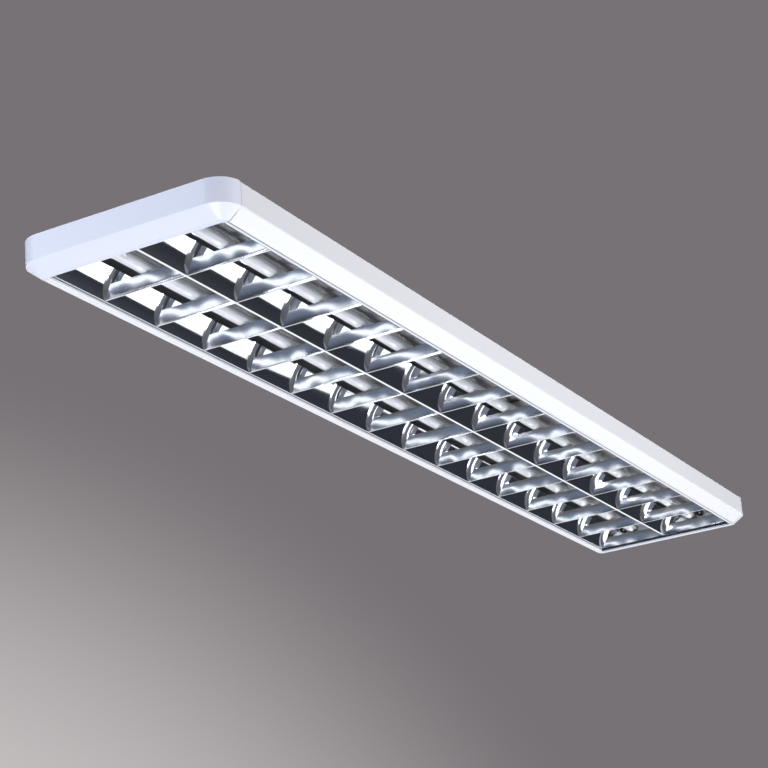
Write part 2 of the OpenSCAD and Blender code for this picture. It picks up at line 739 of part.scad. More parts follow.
// Sheet steel case of the electronic ballast, a tube open at both ends, with two fixing ears
module ballast_case() color("lightgray") from_rim() {
    y0 = ballast_y - ballast_w / 2;
    y1 = ballast_y + ballast_w / 2;
    h0 = sheet_under - ballast_h;
    difference() {
        union() {
            block([-ballast_len / 2, ballast_len / 2], [y0, y1], [h0, sheet_under]);
            for (x = [-ballast_ear_x, ballast_ear_x])
                block([x - block_ear_w / 2, x + block_ear_w / 2], [y1 - ballast_wall, y1 + ballast_ear],
                    [sheet_under - bracket_t, sheet_under]);
        }
        block([-ballast_len / 2 - past, ballast_len / 2 + past], [y0 + ballast_wall, y1 - ballast_wall],
            [h0 + ballast_wall, sheet_under - ballast_wall]);
        for (x = [-ballast_ear_x, ballast_ear_x])
            translate([x, gear_ear_y(), sheet_under - bracket_t - past])
                cylinder(d = screw_d + 2 * seat_fit, h = body_h, $fn = smooth);
    }
}

// Circuit board of the ballast with its coil, heat sink and capacitors
module ballast_board() color("darkgreen") from_rim() {
    half = ballast_w / 2 - ballast_wall - seat_fit;
    board_h = sheet_under - ballast_h + ballast_wall + board_lift;
    board_top = board_h + board_t;
    fill_top = board_top + board_fill * (sheet_under - ballast_wall - board_top);
    board_x = ballast_len / 2 - ballast_term_len;
    block([-board_x, board_x], [ballast_y - half, ballast_y + half], [board_h, board_top]);
    for (part = [[0, coil_len], [board_x / 2, sink_len]])
        block([part[0] - part[1] / 2, part[0] + part[1] / 2],
            [ballast_y - half * board_fill, ballast_y + half * board_fill], [board_top, fill_top]);
    for (i = [-1 : 1])
        translate([i * can_pitch - board_x / 2, ballast_y, board_top])
            cylinder(d = half * board_fill, h = fill_top - board_top, $fn = smooth);
}

module ballast_terminals() color("ivory") from_rim() {
    inner = ballast_wall + seat_fit;
    y0 = ballast_y - ballast_w / 2;
    y1 = ballast_y + ballast_w / 2;
    h0 = sheet_under - ballast_h;
    for (end = [0, 1]) mirror([end, 0, 0]) {
        block([ballast_len / 2, ballast_len / 2 + ballast_term_len], [y0, y1], [h0, sheet_under]);
        block([ballast_len / 2 - ballast_term_len / 2, ballast_len / 2 + slice_t],
            [y0 + inner, y1 - inner], [h0 + inner, sheet_under - inner]);
    }
}

module gear_screws() color("silver") from_rim() {
    for (x = [-ballast_ear_x, ballast_ear_x])
        headed_screw(x, gear_ear_y(), sheet_under - bracket_t, screw_d, screw_head_d, screw_head_t);
    headed_screw(block_x - block_ear / 2, 0, sheet_under - bracket_t, screw_d, screw_head_d, screw_head_t);
}

// A wire of straight runs with a small knuckle at each bend
module wire(points, d) {
    last = len(points) - 1;
    for (i = [0 : last - 1]) {
        step = points[i + 1] - points[i];
        length = norm(step);
        translate(points[i])
            rotate([0, acos(step[2] / length), atan2(step[1], step[0])])
                cylinder(d = d, h = length, $fn = smooth);
        if (i > 0) translate(points[i]) sphere(d = d * knuckle, $fn = smooth);
    }
}

// Live and neutral from the terminal block round the ballast to its terminal
module supply_wires() color("saddlebrown") from_rim() {
    run_y = gear_ear_y() + ballast_ear / 2 + wire_pitch;
    term_x = ballast_len / 2 + ballast_term_len;
    for (i = [0, 1]) {
        lead_x = block_end_x + wire_pitch * (2 - i);
        lane_y = run_y + wire_pitch * (1 - i);
        turn_x = term_x + wire_pitch * (2 - i);
        end_y = ballast_y - wire_pitch * (2 - i);
        start_y = -i * pole_pitch;
        wire([
            [block_end_x, start_y, wire_h], [lead_x, start_y, wire_h], [lead_x, lane_y, wire_h],
            [turn_x, lane_y, wire_h], [turn_x, end_y, wire_h], [term_x, end_y, wire_h]
        ], wire_d);
    }
}

// Earth wire with the ring lug on the earth screw
module earth_wire() color("yellowgreen") from_rim() {
    lug_r = earth_washer_d / 2 - free_gap;
    h = sheet_under - knuckle * wire_d / 2 - seat_fit;
    difference() {
        union() {
            wire([[block_end_x, pole_pitch, h], [earth_x, pole_pitch, h],
                [earth_x, lug_r - wire_d / 2, h]], wire_d);
            translate([earth_x, 0, sheet_under - lug_t]) cylinder(r = lug_r, h = lug_t, $fn = smooth);
        }
        translate([earth_x, 0, 0])
            cylinder(d = earth_screw_d + 2 * seat_fit, h = body_h + past, $fn = smooth);
        translate([earth_x, 0, sheet_under - lug_t - body_h])
            cylinder(d = earth_washer_d + 2 * seat_fit, h = body_h, $fn = smooth);
    }
}

// A twin lead from the ballast to each lampholder, behind the brackets' webs
module lamp_wires() color("white") from_rim() {
    term_x = ballast_len / 2 + ballast_term_len;
    for (end = [-1, 1], i = [0, 1]) {
        lane_x = web_x + bracket_t + lead_d + wire_pitch * i;
        lane_y = ballast_y + wire_pitch * (1 - i);
        goal_y = (2 * i - 1) * lamp_y;
        wire([
            [end * term_x, lane_y, lamp_h], [end * lane_x, lane_y, lamp_h],
            [end * lane_x, goal_y, lamp_h], [end * web_x, goal_y, lamp_h]
        ], lead_d);
    }
}

housing_channel();
end_cap_near();
end_cap_far();
end_cap_screws();
end_bracket_near();
end_bracket_far();
lampholder_near_left();
lampholder_near_right();
lampholder_far_left();
lampholder_far_right();
end_plate_near_left();
end_plate_near_right();
end_plate_far_left();
end_plate_far_right();
fastener_near_left();
fastener_near_right();
fastener_far_left();
fastener_far_right();
rotor_near_left();
rotor_near_right();
rotor_far_left();
rotor_far_right();
lamp_tube_left();
lamp_tube_right();
lamp_caps_left();
lamp_caps_right();
side_reflector_left();
side_reflector_right();
spine_reflector();
end_rail_near();
end_rail_far();
louvre_pins();
cross_blade(1);  // cross_blade_01
cross_blade(2);  // cross_blade_02
cross_blade(3);  // cross_blade_03
cross_blade(4);  // cross_blade_04
cross_blade(5);  // cross_blade_05
cross_blade(6);  // cross_blade_06
cross_blade(7);  // cross_blade_07
cross_blade(8);  // cross_blade_08
cross_blade(9);  // cross_blade_09
cross_blade(10);  // cross_blade_10
cross_blade(11);  // cross_blade_11
cross_blade(12);  // cross_blade_12
cross_blade(13);  // cross_blade_13
cross_blade(14);  // cross_blade_14
cable_grommet();
terminal_block();
terminal_button_1();
terminal_button_2();
terminal_button_3();
earth_screw();
ballast_case();
ballast_board();
ballast_terminals();
gear_screws();
supply_wires();
earth_wire();
lamp_wires();
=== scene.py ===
"""A surface-mounted ceiling light with a mirror louvre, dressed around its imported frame."""

import json
import math

import bmesh
import bpy
from mathutils import Matrix, Vector

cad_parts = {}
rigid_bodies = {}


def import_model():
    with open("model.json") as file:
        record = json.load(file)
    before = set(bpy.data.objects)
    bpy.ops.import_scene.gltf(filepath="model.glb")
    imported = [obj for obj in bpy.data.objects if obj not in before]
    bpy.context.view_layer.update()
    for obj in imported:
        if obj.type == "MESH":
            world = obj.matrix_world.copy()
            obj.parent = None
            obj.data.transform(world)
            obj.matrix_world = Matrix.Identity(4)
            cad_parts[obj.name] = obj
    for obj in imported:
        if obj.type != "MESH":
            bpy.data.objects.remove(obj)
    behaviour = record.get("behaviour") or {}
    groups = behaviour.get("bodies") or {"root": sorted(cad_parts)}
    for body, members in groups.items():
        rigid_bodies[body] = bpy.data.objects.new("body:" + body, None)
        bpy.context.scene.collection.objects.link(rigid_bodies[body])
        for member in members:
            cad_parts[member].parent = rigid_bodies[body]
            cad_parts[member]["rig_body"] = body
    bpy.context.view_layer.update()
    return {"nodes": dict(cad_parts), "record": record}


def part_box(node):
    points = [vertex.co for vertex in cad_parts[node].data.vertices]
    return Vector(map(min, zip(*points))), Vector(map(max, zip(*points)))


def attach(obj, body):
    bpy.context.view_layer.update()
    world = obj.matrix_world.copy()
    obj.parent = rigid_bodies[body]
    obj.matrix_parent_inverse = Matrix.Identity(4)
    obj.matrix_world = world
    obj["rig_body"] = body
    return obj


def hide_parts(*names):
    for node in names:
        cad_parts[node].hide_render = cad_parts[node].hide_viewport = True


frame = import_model()

bl_info = {
    "name": "Louvre ceiling light",
    "version": (1, 0, 0),
    "blender": (4, 5, 0),
    "location": "View3D > Sidebar > Louvre light",
    "description": "Builds the pieces, finishes and studio of a louvre ceiling light",
    "category": "Object",
}

MM = 0.001

# A length that counts as none, and the angles over which an edge is sharp, over which a crease of
# an end cap is rounded, and up to which a frame node's faces are flat
TINY = 1e-6
SHARP, CREASE, FLAT = math.radians(30), math.radians(20), math.radians(0.5)

CORNERS = ("near_left", "near_right", "far_left", "far_right")
ENDS = ("near", "far")
BLADES = tuple(name for name in sorted(frame["nodes"]) if name.startswith("cross_blade"))

# Places read from the frame, all in metres
RIM_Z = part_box("housing_channel")[0].z
HALF_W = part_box("housing_channel")[1].y
SEAM_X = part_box("housing_channel")[1].x
HALF_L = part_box("end_cap_far")[1].x
MIRROR_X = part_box("spine_reflector")[1].x
LOUVRE_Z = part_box("spine_reflector")[0].z
MIRROR_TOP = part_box("spine_reflector")[1].z
SPINE_TOP_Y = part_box("spine_reflector")[1].y
SIDE_OUT_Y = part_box("side_reflector_left")[1].y
BLADE_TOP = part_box(BLADES[0])[1].z
RAIL_OUT_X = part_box("end_rail_far")[1].x
TUBE_LOW, TUBE_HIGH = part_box("lamp_tube_left")
LAMP_R = (TUBE_HIGH.z - TUBE_LOW.z) / 2
LAMP_Z = (TUBE_HIGH.z + TUBE_LOW.z) / 2
LAMP_Y = (TUBE_HIGH.y + TUBE_LOW.y) / 2
TUBE_X = TUBE_HIGH.x
PIN_END_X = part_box("lamp_caps_left")[1].x
HOLDER_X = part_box("lampholder_far_left")[0].x
TONGUE_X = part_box("end_cap_far")[0].x

# Half the width of the middle mirror's foot, and the middle of a row of cells
SPINE_FOOT = 1.6 * MM
ROW_Y = (SIDE_OUT_Y + SPINE_FOOT) / 2

# Distances below the ceiling between which the inside of the channel is painted grey as shade
INSIDE_SHADE_TOP, INSIDE_SHADE_FOOT = 0.3 * MM, 27.5 * MM

# Width of a painted shadow line along the lip, the fade at its edges, and the step from one line
# to the next
SHADOW_LINE, SHADOW_FADE, SHADOW_STEP = 1.1 * MM, 0.4 * MM, 4.6 * MM

# Holes in the channel: length of the drill, the cable hole's radius, the play round a screw, and
# a reach wider than one screw
DRILL, CABLE_R, SCREW_PLAY, SCREW_REACH = 10 * MM, 10 * MM, 0.05 * MM, 6 * MM

# End caps: corner radius at the opening, half the tongue's width, and its reach past the seam
OPENING_CORNER, TONGUE_Y, TONGUE_REACH = 0.5 * MM, 100 * MM, 2 * MM

# Gaps between a blade and the mirrors at its ends, and between an end rail and the outer mirrors
BLADE_GAP, RAIL_GAP = 0.02 * MM, 0.3 * MM

# Lamps: how far the glass lies within its caps, and the play between cap and holder
GLASS_STEP, CAP_PLAY = 0.15 * MM, 0.5 * MM

# Lamp pins: half their spacing, radius, rounding at the tip, and depth in the cap
PIN_STEP, PIN_R, PIN_ROUND, PIN_ROOT = 2.375 * MM, 1.18 * MM, 0.4 * MM, 0.5 * MM

# Depth of the hollow in a fastener's front
KNOB_HOLLOW = 1.2 * MM

# Steps round a cap's corner, and up the face of a long mirror, a blade and an end rail
CORNER_STEPS, MIRROR_STEPS, BLADE_STEPS, RAIL_STEPS = 10, 24, 12, 16


def length(name, description, default, low=0.0, high=2.0):
    """A length property in metres."""
    return bpy.props.FloatProperty(
        name=name, description=description, default=default, min=low, max=high,
        unit="LENGTH", precision=5,
    )


def colour(name, description, default):
    """A colour property."""
    return bpy.props.FloatVectorProperty(
        name=name, description=description, default=default, min=0.0, max=1.0,
        size=3, subtype="COLOR",
    )


def angle(name, description, default, low, high):
    """An angle property in degrees."""
    return bpy.props.FloatProperty(
        name=name, description=description, default=default, min=low, max=high
    )


class LightSizes(bpy.types.PropertyGroup):
    """Sizes of the pieces that the frame does not give."""

    sheet: length("Sheet", "Thickness of the folded steel sheet", 0.8 * MM)
    opening_y: length("Opening", "Half the width of the light opening", 109 * MM)
    opening_x: length("Opening end", "Distance of the opening's ends from the middle", 728 * MM)
    lip: length("Lip", "Width of the flat lip round the opening", 8 * MM)
    crease: length("Crease", "Height of the crease above the rim", 12 * MM)
    hem: length("Hem", "Height of the hem along the opening", 3.5 * MM)
    bend: length("Bend", "Outer radius of the folded sheet's bends", 1.5 * MM)
    rim_corner: length("Rim corner", "Plan radius of the lower rim's corners", 9 * MM)
    upright_corner: length("Upright corner", "Plan radius of the upright corners", 28 * MM)
    cap_wall: length("Cap wall", "Wall of the moulded end caps", 2 * MM)
    cap_round: length("Cap rounding", "Rounding of the end caps' edges", 1.4 * MM)
    seam: length("Seam", "Width of the joint between cap and channel", 0.8 * MM)
    mirror_radius: length("Mirror radius", "Radius of the long mirrors' hollow face", 58 * MM)
    mirror_tilt: angle(
        "Mirror tilt", "Tilt of the long mirrors at their lower edge, degrees", 33.0, 20.0, 45.0
    )
    mirror_sheet: length("Mirror sheet", "Thickness of the mirror sheet", 0.5 * MM)
    side_hem: length("Side hem", "Width of the hem along the outer mirrors' lower edges", 2.2 * MM)
    top_flange: length(
        "Top flange", "Width of the flanges along the mirrors' upper edges", 3.5 * MM
    )
    blade_foot: length("Blade foot", "Half the width of a blade's lower edge", 0.8 * MM)
    blade_radius: length("Blade radius", "Radius of the blades' hollow flanks", 30.4 * MM)
    blade_tilt: angle(
        "Blade tilt", "Tilt of a blade's flank at its lower edge, degrees", 12.0, 5.0, 20.0
    )
    rod_detail: bpy.props.IntProperty(
        name="Roundness", description="Segments round a lamp", default=48, min=16, max=96
    )


class LightColours(bpy.types.PropertyGroup):
    """Colours of the finishes."""

    enamel: colour("Enamel", "Powder coat of the housing", (0.86, 0.87, 0.89))
    # Painted shade: grey put on the inside of the white channel to stand for the shade there
    painted_inside_shade: colour("Painted inside shade", "Grey painted shade on the inside of the housing", (0.30, 0.30, 0.31))
    cap: colour("Cap", "Plastic of the end caps", (0.80, 0.83, 0.93))
    mirror: colour("Mirror", "Bright aluminium of the louvre", (0.90, 0.92, 0.95))
    zinc: colour("Zinc", "Zinc-plated steel", (0.62, 0.63, 0.64))
    holder: colour("Holder", "Plastic of the lampholders", (0.85, 0.85, 0.82))
    nylon: colour("Nylon", "Black plastic of the fasteners", (0.012, 0.013, 0.016))
    lamp: colour("Lamp", "Coated glass of the lamps", (0.88, 0.89, 0.90))
    ivory: colour("Ivory", "Plastic of the terminal block", (0.72, 0.69, 0.58))
    orange: colour("Orange", "Plastic of the release buttons", (0.85, 0.24, 0.02))
    brass: colour("Brass", "Earth screw", (0.78, 0.58, 0.25))
    gear: colour("Gear", "Coated case of the ballast", (0.60, 0.61, 0.62))
    board: colour("Board", "Laminate of the circuit board", (0.03, 0.16, 0.06))
    lamp_cap: colour("Lamp cap", "Metal caps of the lamps", (0.75, 0.76, 0.78))
    supply_wire: colour("Supply wire", "Insulation of the supply wires", (0.09, 0.035, 0.015))
    earth_wire: colour("Earth wire", "Insulation of the earth wire", (0.10, 0.32, 0.03))
    earth_stripe: colour("Earth stripe", "Stripe of the earth wire", (0.75, 0.62, 0.03))
    lamp_wire: colour("Lamp wire", "Insulation of the lamp wires", (0.78, 0.78, 0.75))
    backdrop: colour("Backdrop", "Backdrop and floor of the studio", (0.56, 0.55, 0.56))


# Shader expressions


class Value:
    """A shader socket that takes part in Python expressions, each of which adds a Math node."""

    def __init__(self, graph, socket):
        self.graph = graph
        self.socket = socket

    def join(self, operation, first, second):
        """A Math node on two values."""
        node = self.graph.node("ShaderNodeMath", {"operation": operation}, {0: first, 1: second})
        return Value(self.graph, node.outputs[0])

    def __add__(self, other):
        return self.join("ADD", self, other)

    def __radd__(self, other):
        return self.join("ADD", other, self)

    def __sub__(self, other):
        return self.join("SUBTRACT", self, other)

    def __rsub__(self, other):
        return self.join("SUBTRACT", other, self)

    def __mul__(self, other):
        return self.join("MULTIPLY", self, other)

    def __truediv__(self, other):
        return self.join("DIVIDE", self, other)

    def __pow__(self, other):
        return self.join("POWER", self, other)


class Graph:
    """The node tree of a material or world, with one method for every kind of node."""

    def __init__(self, owner):
        owner.use_nodes = True
        self.owner = owner
        self.tree = owner.node_tree

    def put(self, socket, value):
        """Links an expression or socket to a socket, or sets a plain value on it."""
        if isinstance(value, Value):
            self.tree.links.new(value.socket, socket)
        elif isinstance(value, bpy.types.NodeSocket):
            self.tree.links.new(value, socket)
        else:
            socket.default_value = value

    def node(self, kind, settings=None, inputs=None):
        """A new node with its settings, such as a ramp's two stops, and its sockets' values."""
        node = self.tree.nodes.new(kind)
        for key, value in (settings or {}).items():
            if key == "stops":
                node.color_ramp.interpolation = "EASE"
                for element, (place, tone) in zip(node.color_ramp.elements, value):
                    element.position = place
                    element.color = (*tone, 1.0)
            else:
                setattr(node, key, value)
        for key, value in (inputs or {}).items():
            self.put(node.inputs[key], value)
        return node

    def place(self, scale):
        """Object coordinates, stretched by a scale on each axis."""
        coords = self.node("ShaderNodeTexCoord")
        mapping = self.node(
            "ShaderNodeMapping", {"vector_type": "POINT"},
            {"Vector": coords.outputs["Object"], "Scale": scale},
        )
        return mapping.outputs["Vector"]

    def along(self, axis):
        """One object coordinate, in metres."""
        coords = self.node("ShaderNodeTexCoord")
        split = self.node("ShaderNodeSeparateXYZ", None, {"Vector": coords.outputs["Object"]})
        return Value(self, split.outputs[axis])

    def noise(self, scale, stretch=(1.0, 1.0, 1.0), detail=2.0, roughness=0.5):
        """Soft noise from 0 to 1."""
        node = self.node(
            "ShaderNodeTexNoise", None,
            {
                "Vector": self.place(stretch), "Scale": scale,
                "Detail": detail, "Roughness": roughness,
            },
        )
        return Value(self, node.outputs[0])

    def cells(self, scale, stretch=(1.0, 1.0, 1.0)):
        """Facets, each with a grey of its own."""
        facets = self.node(
            "ShaderNodeTexVoronoi", None, {"Vector": self.place(stretch), "Scale": scale}
        )
        grey = self.node("ShaderNodeRGBToBW", None, {0: facets.outputs["Color"]})
        return Value(self, grey.outputs[0])

    def step(self, value, low, high):
        """0 below low, 1 above high and a smooth rise between."""
        node = self.node(
            "ShaderNodeMapRange", {"interpolation_type": "SMOOTHSTEP"},
            {"Value": value, "From Min": low, "From Max": high},
        )
        return Value(self, node.outputs[0])

    def wave(self, value):
        """The sine of a value."""
        sine = self.node("ShaderNodeMath", {"operation": "SINE"}, {0: value})
        return Value(self, sine.outputs[0])

    def mix(self, factor, first, second):
        """A colour between two others."""
        node = self.node("ShaderNodeMix", {"data_type": "RGBA"}, {0: factor})
        self.put(node.inputs[6], first if isinstance(first, Value) else (*first, 1.0))
        self.put(node.inputs[7], second if isinstance(second, Value) else (*second, 1.0))
        return Value(self, node.outputs[2])

    def bump(self, height, distance, strength):
        """Height, from 0 to 1, raises the surface by distance in metres."""
        node = self.node(
            "ShaderNodeBump", None,
            {"Strength": strength, "Distance": distance, "Height": height},
        )
        self.finish(normal=node.outputs["Normal"])

    def finish(self, **sockets):
        """Fills the shader's sockets, named in small letters, and gives the material."""
        shader = self.tree.nodes["Principled BSDF"]
        for key, value in sockets.items():
            self.put(shader.inputs[key.replace("_", " ").title()], value)
        return self.owner


def new_look(name):
    """The node tree of a new material."""
    return Graph(bpy.data.materials.new(name))


def shade(rgb, factor):
    """A colour made lighter or darker."""
    return tuple(min(1.0, c * factor) for c in rgb)


# Finishes


def enamel_finish(name, rgb, back=None, shadow_lines=()):
    """Glossy powder coat: fine orange peel and faint clouds, painted grey shade inside the
    channel, and two thin painted shadow lines along the lip on the -Y side only."""
    g = new_look(name)
    peel = g.noise(620.0, detail=1.0)
    clouds = g.noise(5.0, detail=1.0)
    g.bump(peel, 0.00003, 0.35)
    tone = g.mix(clouds * 0.4, rgb, shade(rgb, 0.95))
    if back:
        # Painted shade: the inside of the channel, between these depths, is painted grey
        drop, across = g.along(2) * -1.0, g.along(1)
        from_top = g.step(drop, INSIDE_SHADE_TOP, INSIDE_SHADE_TOP + 0.2 * MM)
        past_foot = g.step(drop, INSIDE_SHADE_FOOT, INSIDE_SHADE_FOOT + 0.5 * MM)
        outside = g.step(across * across, (HALF_W - 0.5 * MM) ** 2, (HALF_W - 0.3 * MM) ** 2)
        tone = g.mix((from_top - past_foot) * (1.0 - outside), tone, back)
    # Painted shadow: two thin dark lines under the -Y lip stand for the shade of the gap at the
    # opening and of a crease
    for start in shadow_lines:
        out = g.along(1) * -1.0 - start
        line = g.step(out, -SHADOW_FADE, 0.0) - g.step(out, SHADOW_LINE, SHADOW_LINE + SHADOW_FADE)
        above = g.step(g.along(2), RIM_Z + SHADOW_FADE, RIM_Z + 2 * SHADOW_FADE)
        tone = g.mix(line * (1.0 - above), tone, shade(rgb, 0.18))
    return g.finish(
        base_color=tone,
        roughness=0.25 + clouds * 0.03,
        coat_weight=0.35,
        coat_roughness=0.12,
    )


def moulding_finish(name, rgb, rough=0.3, grain=900.0):
    """Moulded plastic: fine spark-eroded grain, slight flow shading and a soft gloss."""
    g = new_look(name)
    flow = g.noise(14.0, stretch=(1.0, 0.35, 1.0), detail=2.0)
    fine = g.noise(grain, detail=1.0)
    g.bump(fine, 0.00002, 0.3)
    return g.finish(
        base_color=g.mix(flow * 0.5, rgb, shade(rgb, 0.94)),
        roughness=rough + flow * 0.06 + fine * 0.03,
    )


def mirror_finish(name, rgb, grain_axis=0, ripple_depth=0.5 * MM, row_bow=0.0, rough=0.05):
    """Bright anodised aluminium: rolling lines along the strip, slow ripples, a thin haze, and for
    the blades a slow bow across each row."""
    g = new_look(name)
    stretch = [900.0, 900.0, 900.0]
    stretch[grain_axis] = 12.0
    lines = g.noise(1.0, stretch=tuple(stretch), detail=2.0)
    ripple = g.noise(11.0, stretch=(1.0, 1.6, 1.6), detail=1.0)
    haze = g.step(g.noise(30.0, detail=4.0, roughness=0.65), 0.45, 0.8)
    height = ripple + lines * 0.001
    if row_bow:
        across = g.along(1)
        place = (across * across) ** 0.5 / ROW_Y - 1.0 - across * 2.0
        height = height + place * place * (row_bow / ripple_depth)
    g.bump(height, ripple_depth, 0.5)
    return g.finish(
        base_color=g.mix(haze * 0.5 + lines * 0.3, rgb, shade(rgb, 0.86)),
        metallic=1.0,
        roughness=rough + haze * 0.04 + lines * 0.02,
    )


def satin_finish(name, rgb):
    """Brushed aluminium plate: fine upright lines over a satin sheen."""
    g = new_look(name)
    lines = g.noise(1.0, stretch=(900.0, 900.0, 14.0), detail=2.0)
    haze = g.noise(35.0, detail=3.0)
    g.bump(lines, 0.00001, 0.4)
    return g.finish(
        base_color=g.mix(lines * 0.5 + haze * 0.3, rgb, shade(rgb, 0.8)),
        metallic=1.0,
        roughness=0.4 + haze * 0.1 + lines * 0.05,
    )


def zinc_finish(name, rgb):
    """Zinc-plated steel: small crystal facets and a dull bloom."""
    g = new_look(name)
    facets = g.cells(180.0)
    bloom = g.noise(40.0, detail=3.0)
    g.bump(facets, 0.00001, 0.3)
    return g.finish(
        base_color=g.mix(facets * 0.6 + bloom * 0.3, rgb, shade(rgb, 0.72)),
        metallic=1.0,
        roughness=0.3 + bloom * 0.15 + facets * 0.08,
    )


def turned_finish(name, rgb, rough=0.2):
    """Turned metal: fine circular tool marks seen as noise, with darker hollows."""
    g = new_look(name)
    marks = g.noise(2600.0, stretch=(0.15, 1.0, 1.0), detail=1.0)
    g.bump(marks, 0.00001, 0.4)
    return g.finish(
        base_color=g.mix(marks * 0.5, rgb, shade(rgb, 0.75)),
        metallic=1.0,
        roughness=rough + marks * 0.1,
    )


def glass_finish(name, rgb):
    """Lamp glass over its white coating: smooth gloss, faint mottling, greyer ends."""
    g = new_look(name)
    mottle = g.noise(60.0, detail=2.0)
    run = g.along(0)
    ends = g.step(run * run, (TUBE_X - 60 * MM) ** 2, TUBE_X ** 2)
    tone = g.mix(mottle * 0.25, rgb, shade(rgb, 0.95))
    return g.finish(
        base_color=g.mix(ends * 0.35, tone, (0.55, 0.52, 0.48)),
        roughness=0.16 + mottle * 0.05,
        coat_weight=0.5,
        coat_roughness=0.03,
    )


def rubber_finish(name):
    """Soft black rubber with a bloom and fine pores."""
    g = new_look(name)
    pores = g.noise(1500.0, detail=2.0)
    bloom = g.noise(120.0, detail=3.0)
    g.bump(pores, 0.00004, 0.5)
    return g.finish(
        base_color=g.mix(bloom * 0.6, (0.012, 0.012, 0.012), (0.035, 0.034, 0.033)),
        roughness=0.62 + bloom * 0.15,
    )


def board_finish(name, rgb):
    """Circuit laminate with lighter tracks under the resist and bare solder pads."""
    g = new_look(name)
    tracks = g.step(g.cells(160.0, stretch=(1.0, 0.25, 1.0)), 0.5, 0.56)
    pads = g.step(g.cells(420.0), 0.86, 0.9)
    tone = g.mix(tracks * 0.7, rgb, (0.06, 0.27, 0.10))
    return g.finish(
        base_color=g.mix(pads, tone, (0.7, 0.68, 0.62)),
        metallic=pads * 0.9,
        roughness=0.35 - pads * 0.1,
    )


def wire_finish(name, rgb, stripe=None):
    """Extruded wire insulation, with an optional lengthwise stripe seen as broad bands."""
    g = new_look(name)
    scuff = g.noise(300.0, detail=3.0)
    tone = g.mix(scuff * 0.4, rgb, shade(rgb, 0.75))
    if stripe:
        bands = g.step(g.wave(g.along(0) * 900.0 + g.along(1) * 900.0), 0.1, 0.3)
        tone = g.mix(bands, tone, stripe)
    return g.finish(base_color=tone, roughness=0.38 + scuff * 0.15)


# Mesh helpers


def to_object(bm, name, material, nodes, body=None):
    """Turns a bmesh into a smooth-shaded piece that stands for frame nodes, or only rides on a
    body."""
    bmesh.ops.remove_doubles(bm, verts=bm.verts, dist=TINY)
    bmesh.ops.recalc_face_normals(bm, faces=bm.faces)
    mesh = bpy.data.meshes.new(name)
    bm.to_mesh(mesh)
    bm.free()
    mesh.materials.append(material)
    piece = bpy.data.objects.new(name, mesh)
    bpy.context.scene.collection.objects.link(piece)
    even_shading(piece)
    nodes = (nodes,) if isinstance(nodes, str) else nodes
    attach(piece, body or frame["nodes"][nodes[0]]["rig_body"])
    if nodes:
        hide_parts(*nodes)
    return piece


def bake(piece):
    """Replaces a piece's mesh by the result of its modifiers."""
    bpy.context.view_layer.update()
    evaluated = piece.evaluated_get(bpy.context.evaluated_depsgraph_get())
    shaped = bpy.data.meshes.new_from_object(evaluated)
    piece.modifiers.clear()
    old = piece.data
    piece.data = shaped
    bpy.data.meshes.remove(old)


def even_shading(piece):
    """Shades a piece smooth between its sharp edges, and keeps flat faces flat beside bends."""
    mesh = piece.data
    mesh.polygons.foreach_set("use_smooth", [True] * len(mesh.polygons))
    mesh.set_sharp_from_angle(angle=SHARP)
    weighted = piece.modifiers.new("even", "WEIGHTED_NORMAL")
    weighted.keep_sharp = True
    weighted.weight = 100
    bake(piece)


def round_edges(bm, edges, width, segments):
    """Rounds edges off over a width, in a number of segments."""
    bmesh.ops.bevel(
        bm, geom=edges, offset=width, offset_type="OFFSET", segments=segments, profile=0.5,
        affect="EDGES", material=-1, clamp_overlap=True,
    )


def outline_prism(points, start, run, bends=()):
    """A solid whose flat outline is swept by the vector run. Each of bends is a point of the
    outline and the radius that rounds it."""
    bm = bmesh.new()
    face = bm.faces.new([bm.verts.new(start(a, b)) for a, b in points])
    swept = bmesh.ops.extrude_face_region(bm, geom=[face])
    top = [v for v in swept["geom"] if isinstance(v, bmesh.types.BMVert)]
    bmesh.ops.translate(bm, verts=top, vec=run)
    bmesh.ops.recalc_face_normals(bm, faces=bm.faces)
    direction = Vector(run).normalized()
    for index, radius in bends:
        spot = Vector(start(*points[index]))
        edges = [
            e for e in bm.edges
            if all((v.co - spot).cross(direction).length < TINY for v in e.verts)
        ]
        round_edges(bm, edges, radius, 4)
    return bm


def soften(bm, width, segments=2):
    """Rounds off every sharp edge of a shape."""
    bmesh.ops.remove_doubles(bm, verts=bm.verts, dist=TINY)
    edges = [e for e in bm.edges if e.is_manifold and e.calc_face_angle(0.0) > SHARP]
    round_edges(bm, edges, width, segments)


def add_rod(bm, x0, x1, y, z, radius, segments):
    """A closed rod along X."""
    turn = Matrix.Translation(((x0 + x1) / 2, y, z)) @ Matrix.Rotation(math.pi / 2, 4, "Y")
    return bmesh.ops.create_cone(
        bm, cap_ends=True, cap_tris=False, segments=segments, radius1=radius, radius2=radius,
        depth=abs(x1 - x0), matrix=turn,
    )["verts"]


def add_drill(bm, x, y, radius, segments=32):
    """A closed rod along Z, through the top sheet."""
    bmesh.ops.create_cone(
        bm, cap_ends=True, cap_tris=False, segments=segments, radius1=radius, radius2=radius,
        depth=DRILL, matrix=Matrix.Translation((x, y, 0)),
    )


def add_box(bm, low, high):
    """A closed box between two corners."""
    size = Vector(high) - Vector(low)
    middle = (Vector(high) + Vector(low)) / 2
    place = Matrix.Translation(middle) @ Matrix.Diagonal((*size, 1.0))
    bmesh.ops.create_cube(bm, size=1.0, matrix=place)


def spin_profile(bm, profile, y, z, steps):
    """Turns a profile, given as places along X and radii, once about a line along X."""
    spun = [bm.verts.new((x, y, z + r)) for x, r in profile]
    edges = [bm.edges.new(pair) for pair in zip(spun, spun[1:])]
    bmesh.ops.spin(
        bm, geom=spun + edges, cent=(0, y, z), axis=(1, 0, 0), angle=2 * math.pi, steps=steps,
        use_merge=True, use_duplicate=False,
    )


